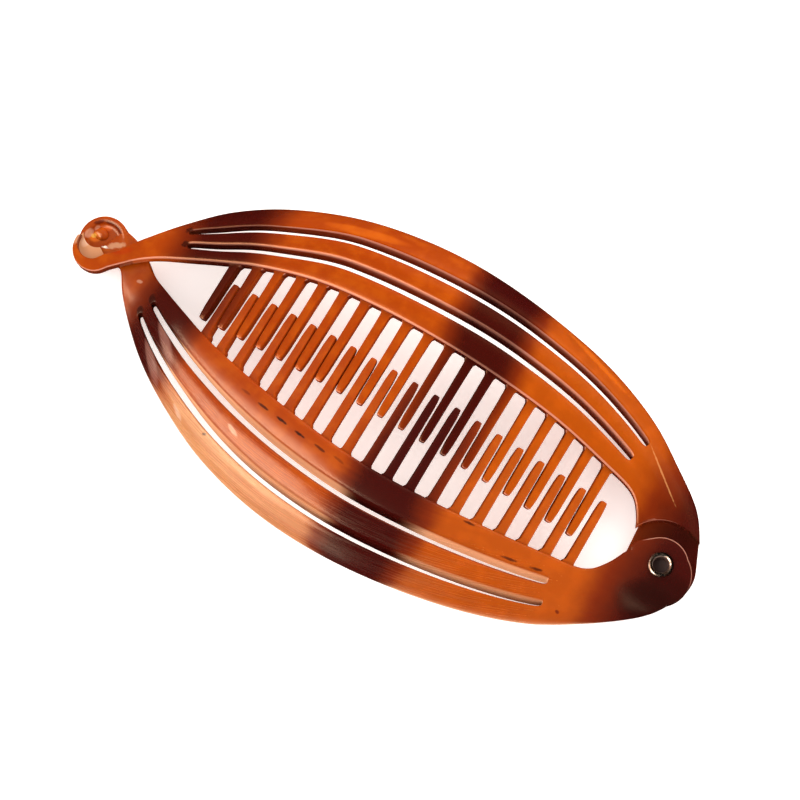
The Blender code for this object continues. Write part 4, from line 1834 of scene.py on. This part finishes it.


# Mark colours: a deep red and a near black for dark lines, specks and painted shade; an orange, a cream and a
# rose for painted light and glints; a dusky pink for a painted sheen
BLOOD = (0.09, 0.006, 0.0012)
SPECK_AND_SHADE_DARK = (0.030, 0.0035, 0.002)
BLAZE = (0.80, 0.17, 0.006)
CREAM = (0.80, 0.50, 0.34)
ROSE = (0.72, 0.36, 0.22)
DUSK = (0.45, 0.19, 0.14)
HOOK_PLASTIC = Tortoiseshell(
    "hook_arm_tortoiseshell",
    (
        Band(23.0, 14.0, 7.6, 30.0, 8.0, 0.9),
        Band(79.2, 22.0, 6.2, 40.0, 4.0, 1.0),
        Band(136.0, 2.0, 12.0, 40.0, 0.0, 1.0),
    ),
    (
        # Painted light on brighter stretches of the outer rib, and a painted highlight along the ridge that
        # runs from a slot to the hinge
        Mark(98.4, 27.2, 9.0, 0.6, -15.5, 0.3, BLAZE),
        Mark(48.0, 25.6, 9.5, 1.2, 12.0, 0.25, BLAZE),
        Mark(119.8, 14.9, 7.2, 0.2, -38.5, 0.35, (0.78, 0.36, 0.12)),
        # Red and dark folds where the neck meets the hook
        Mark(5.2, 0.0, 2.6, 1.0, 32.0, 0.55, (0.36, 0.020, 0.001)),
        Mark(2.9, -1.1, 1.6, 0.32, 42.0, 0.8, BLOOD),
        Mark(4.8, 0.75, 1.3, 0.26, 46.0, 0.7, BLOOD),
        # Painted light on the cup's thin floor and on the bar beside it, paler as if lit through the plastic
        Mark(-1.3, -2.4, 3.9, 3.5, 0.0, 0.95, (0.58, 0.27, 0.135), 4.35),
        Mark(-2.9, -1.5, 1.0, 1.6, 0.0, 0.6, CREAM, 4.35),
        Mark(-4.4, -1.9, 0.7, 2.0, 10.0, 0.6, (0.62, 0.34, 0.19)),
        # Painted shade: dark spots at the slots' ends
        Mark(16.4, 7.2, 1.0, 0.75, 60.0, 0.85, SPECK_AND_SHADE_DARK),
        Mark(15.2, 10.2, 1.0, 0.75, 60.0, 0.75, SPECK_AND_SHADE_DARK),
    ),
)
KNOB_PLASTIC = Tortoiseshell(
    "knob_arm_tortoiseshell",
    (
        Band(20.5, -10.0, 6.9, 30.0, -12.0, 0.9),
        Band(78.5, -22.0, 6.9, 40.0, 0.0, 1.0),
        Band(136.5, -8.0, 12.5, 40.0, 0.0, 1.0),
    ),
    (
        # Dark specks along the inner rib
        Mark(45.08, -13.26, 1.4, 0.3, -8.0, 0.45, SPECK_AND_SHADE_DARK),
        Mark(49.68, -14.12, 1.4, 0.3, -8.0, 0.9, SPECK_AND_SHADE_DARK),
        Mark(54.13, -14.70, 1.4, 0.3, -8.0, 0.95, SPECK_AND_SHADE_DARK),
        Mark(58.55, -15.30, 1.4, 0.3, -8.0, 1.0, SPECK_AND_SHADE_DARK),
        Mark(63.24, -15.67, 1.4, 0.3, -8.0, 0.75, SPECK_AND_SHADE_DARK),
        Mark(67.48, -15.74, 1.4, 0.3, -8.0, 0.45, SPECK_AND_SHADE_DARK),
        Mark(93.78, -12.93, 1.4, 0.3, 8.0, 0.8, SPECK_AND_SHADE_DARK),
        Mark(103.35, -14.59, 1.8, 0.3, 14.0, 0.8, SPECK_AND_SHADE_DARK),
        Mark(108.51, -13.44, 1.4, 0.3, 16.0, 0.8, SPECK_AND_SHADE_DARK),
        # Specks on the ribs, painted glints on the ribs, and a painted highlight on the tail
        Mark(115.76, -18.02, 0.45, 0.4, 0.0, 0.8, BLOOD),
        Mark(34.3, -22.7, 1.9, 0.5, -34.0, 0.6, CREAM),
        Mark(46.6, -20.8, 1.7, 0.45, -24.0, 0.55, CREAM),
        Mark(41.9, -23.9, 0.6, 0.32, 20.0, 0.95, SPECK_AND_SHADE_DARK),
        Mark(11.28, -3.27, 0.8, 0.4, 10.0, 0.35, CREAM),
        # Red arcs of painted shade along the inner wall of the knob's hollow, then painted glow, glints and a
        # pale patch in it
        Mark(-3.3, 3.4, 1.3, 0.42, 45.0, 0.8, BLOOD),
        Mark(-1.2, 4.4, 1.4, 0.42, 10.0, 0.8, BLOOD),
        Mark(0.9, 4.1, 1.3, 0.42, -24.0, 0.8, BLOOD),
        Mark(-1.8, 3.2, 1.4, 0.7, 20.0, 0.7, (0.70, 0.10, 0.003)),
        Mark(-2.6, 0.4, 1.5, 1.1, 20.0, 0.8, BLAZE),
        Mark(-3.0, 0.56, 0.7, 0.5, 20.0, 0.95, (0.95, 0.50, 0.06)),
        Mark(-4.0, 0.4, 0.7, 1.3, -10.0, 0.6, ROSE),
        Mark(-3.2, 2.2, 0.5, 0.8, -20.0, 0.45, ROSE),
        Mark(2.5, 0.9, 2.3, 0.75, 34.0, 0.55, (0.70, 0.40, 0.22)),
        # A painted sheen over the first cloud, and the darkest part of the disc
        Mark(24.4, -11.9, 6.0, 1.1, -42.0, 0.42, DUSK),
        Mark(23.6, -16.4, 6.0, 1.1, -45.0, 0.42, DUSK),
        Mark(130.0, -8.5, 7.5, 5.0, 0.0, 0.75, (0.014, 0.0010, 0.0008)),
        Mark(131.6, -4.4, 6.5, 4.6, 0.0, 0.6, (0.018, 0.0010, 0.0010)),
        # Painted shade in dark spots at the slots' ends, and a painted glint on the knob
        Mark(16.1, -5.4, 1.3, 0.9, -55.0, 0.9, SPECK_AND_SHADE_DARK),
        Mark(15.0, -8.5, 1.3, 0.9, -55.0, 0.9, SPECK_AND_SHADE_DARK),
        Mark(0.5, -0.5, 0.95, 0.32, 7.0, 1.0, (0.95, 0.85, 0.74)),
    ),
    # Painted light: light tan front walls with a painted glow, as if lit through the plastic
    front_wall=(0.80, 0.42, 0.22),
    tint=(1.0, 0.72, 0.50),
    lip=0.0,
    glow=(0.50, 0.23, 0.115),
    streaks_and_painted_light=1.0,
)


def report(thing: Thing) -> None:
    """Logs a piece's size and how many triangles it has.

    Args:
        thing: the finished piece.
    """
    triangles = sum(len(face.vertices) - 2 for face in thing.data.polygons)
    size = ", ".join(f"{value / MM:.1f}" for value in thing.dimensions)
    LOG.info("%s: %s mm, %d triangles", thing.name, size, triangles)


def dress(thing: Thing, material: bpy.types.Material, body: str, node: str) -> None:
    """Gives a piece its material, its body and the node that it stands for.

    Args:
        thing: the finished piece.
        material: its material.
        body: the body that it rides on.
        node: the CAD node that it replaces.
    """
    thing.data.materials.clear()
    thing.data.materials.append(material)
    for face in thing.data.polygons:
        face.material_index = 0
    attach(thing, body)
    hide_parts(node)
    report(thing)


def main() -> None:
    """Loads the frame, builds the clip's pieces in order and sets the studio."""
    logging.basicConfig(level=logging.INFO, format="%(message)s")
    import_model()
    hook_sections = (*HookArm.hook_sections(), *HOOK_NECK, *HOOK_SPAN)
    span = len(hook_sections) - len(HOOK_SPAN)
    hook = HookArm(
        "hook_arm_moulding",
        1,
        hook_sections,
        slots_from=span + 0.02,
        slots_to=span + len(HOOK_SPAN) - 4 + 0.32,
        first_tooth=28.3,
        wall_leans={5: 0.75, 10: 0.8},
    )
    dress(hook.build(), HOOK_PLASTIC.paint(), "hook_side", "hook_arm")
    span = len(KNOB_TAIL)
    knob = KnobArm(
        "knob_arm_moulding",
        -1,
        (*KNOB_TAIL, *KNOB_SPAN),
        slots_from=span + 0.05,
        slots_to=span + len(KNOB_SPAN) - 5 + 0.2,
        first_tooth=30.95,
        wall_leans={4: -1.3, 9: -1.35},
    )
    dress(knob.build(), KNOB_PLASTIC.paint(), "knob_side", "knob_arm")
    dress(Eyelet().build(), EyeletMetal().paint(), "hook_side", "hinge_rivet")
    Studio().build()


if __name__ == "__main__":
    main()
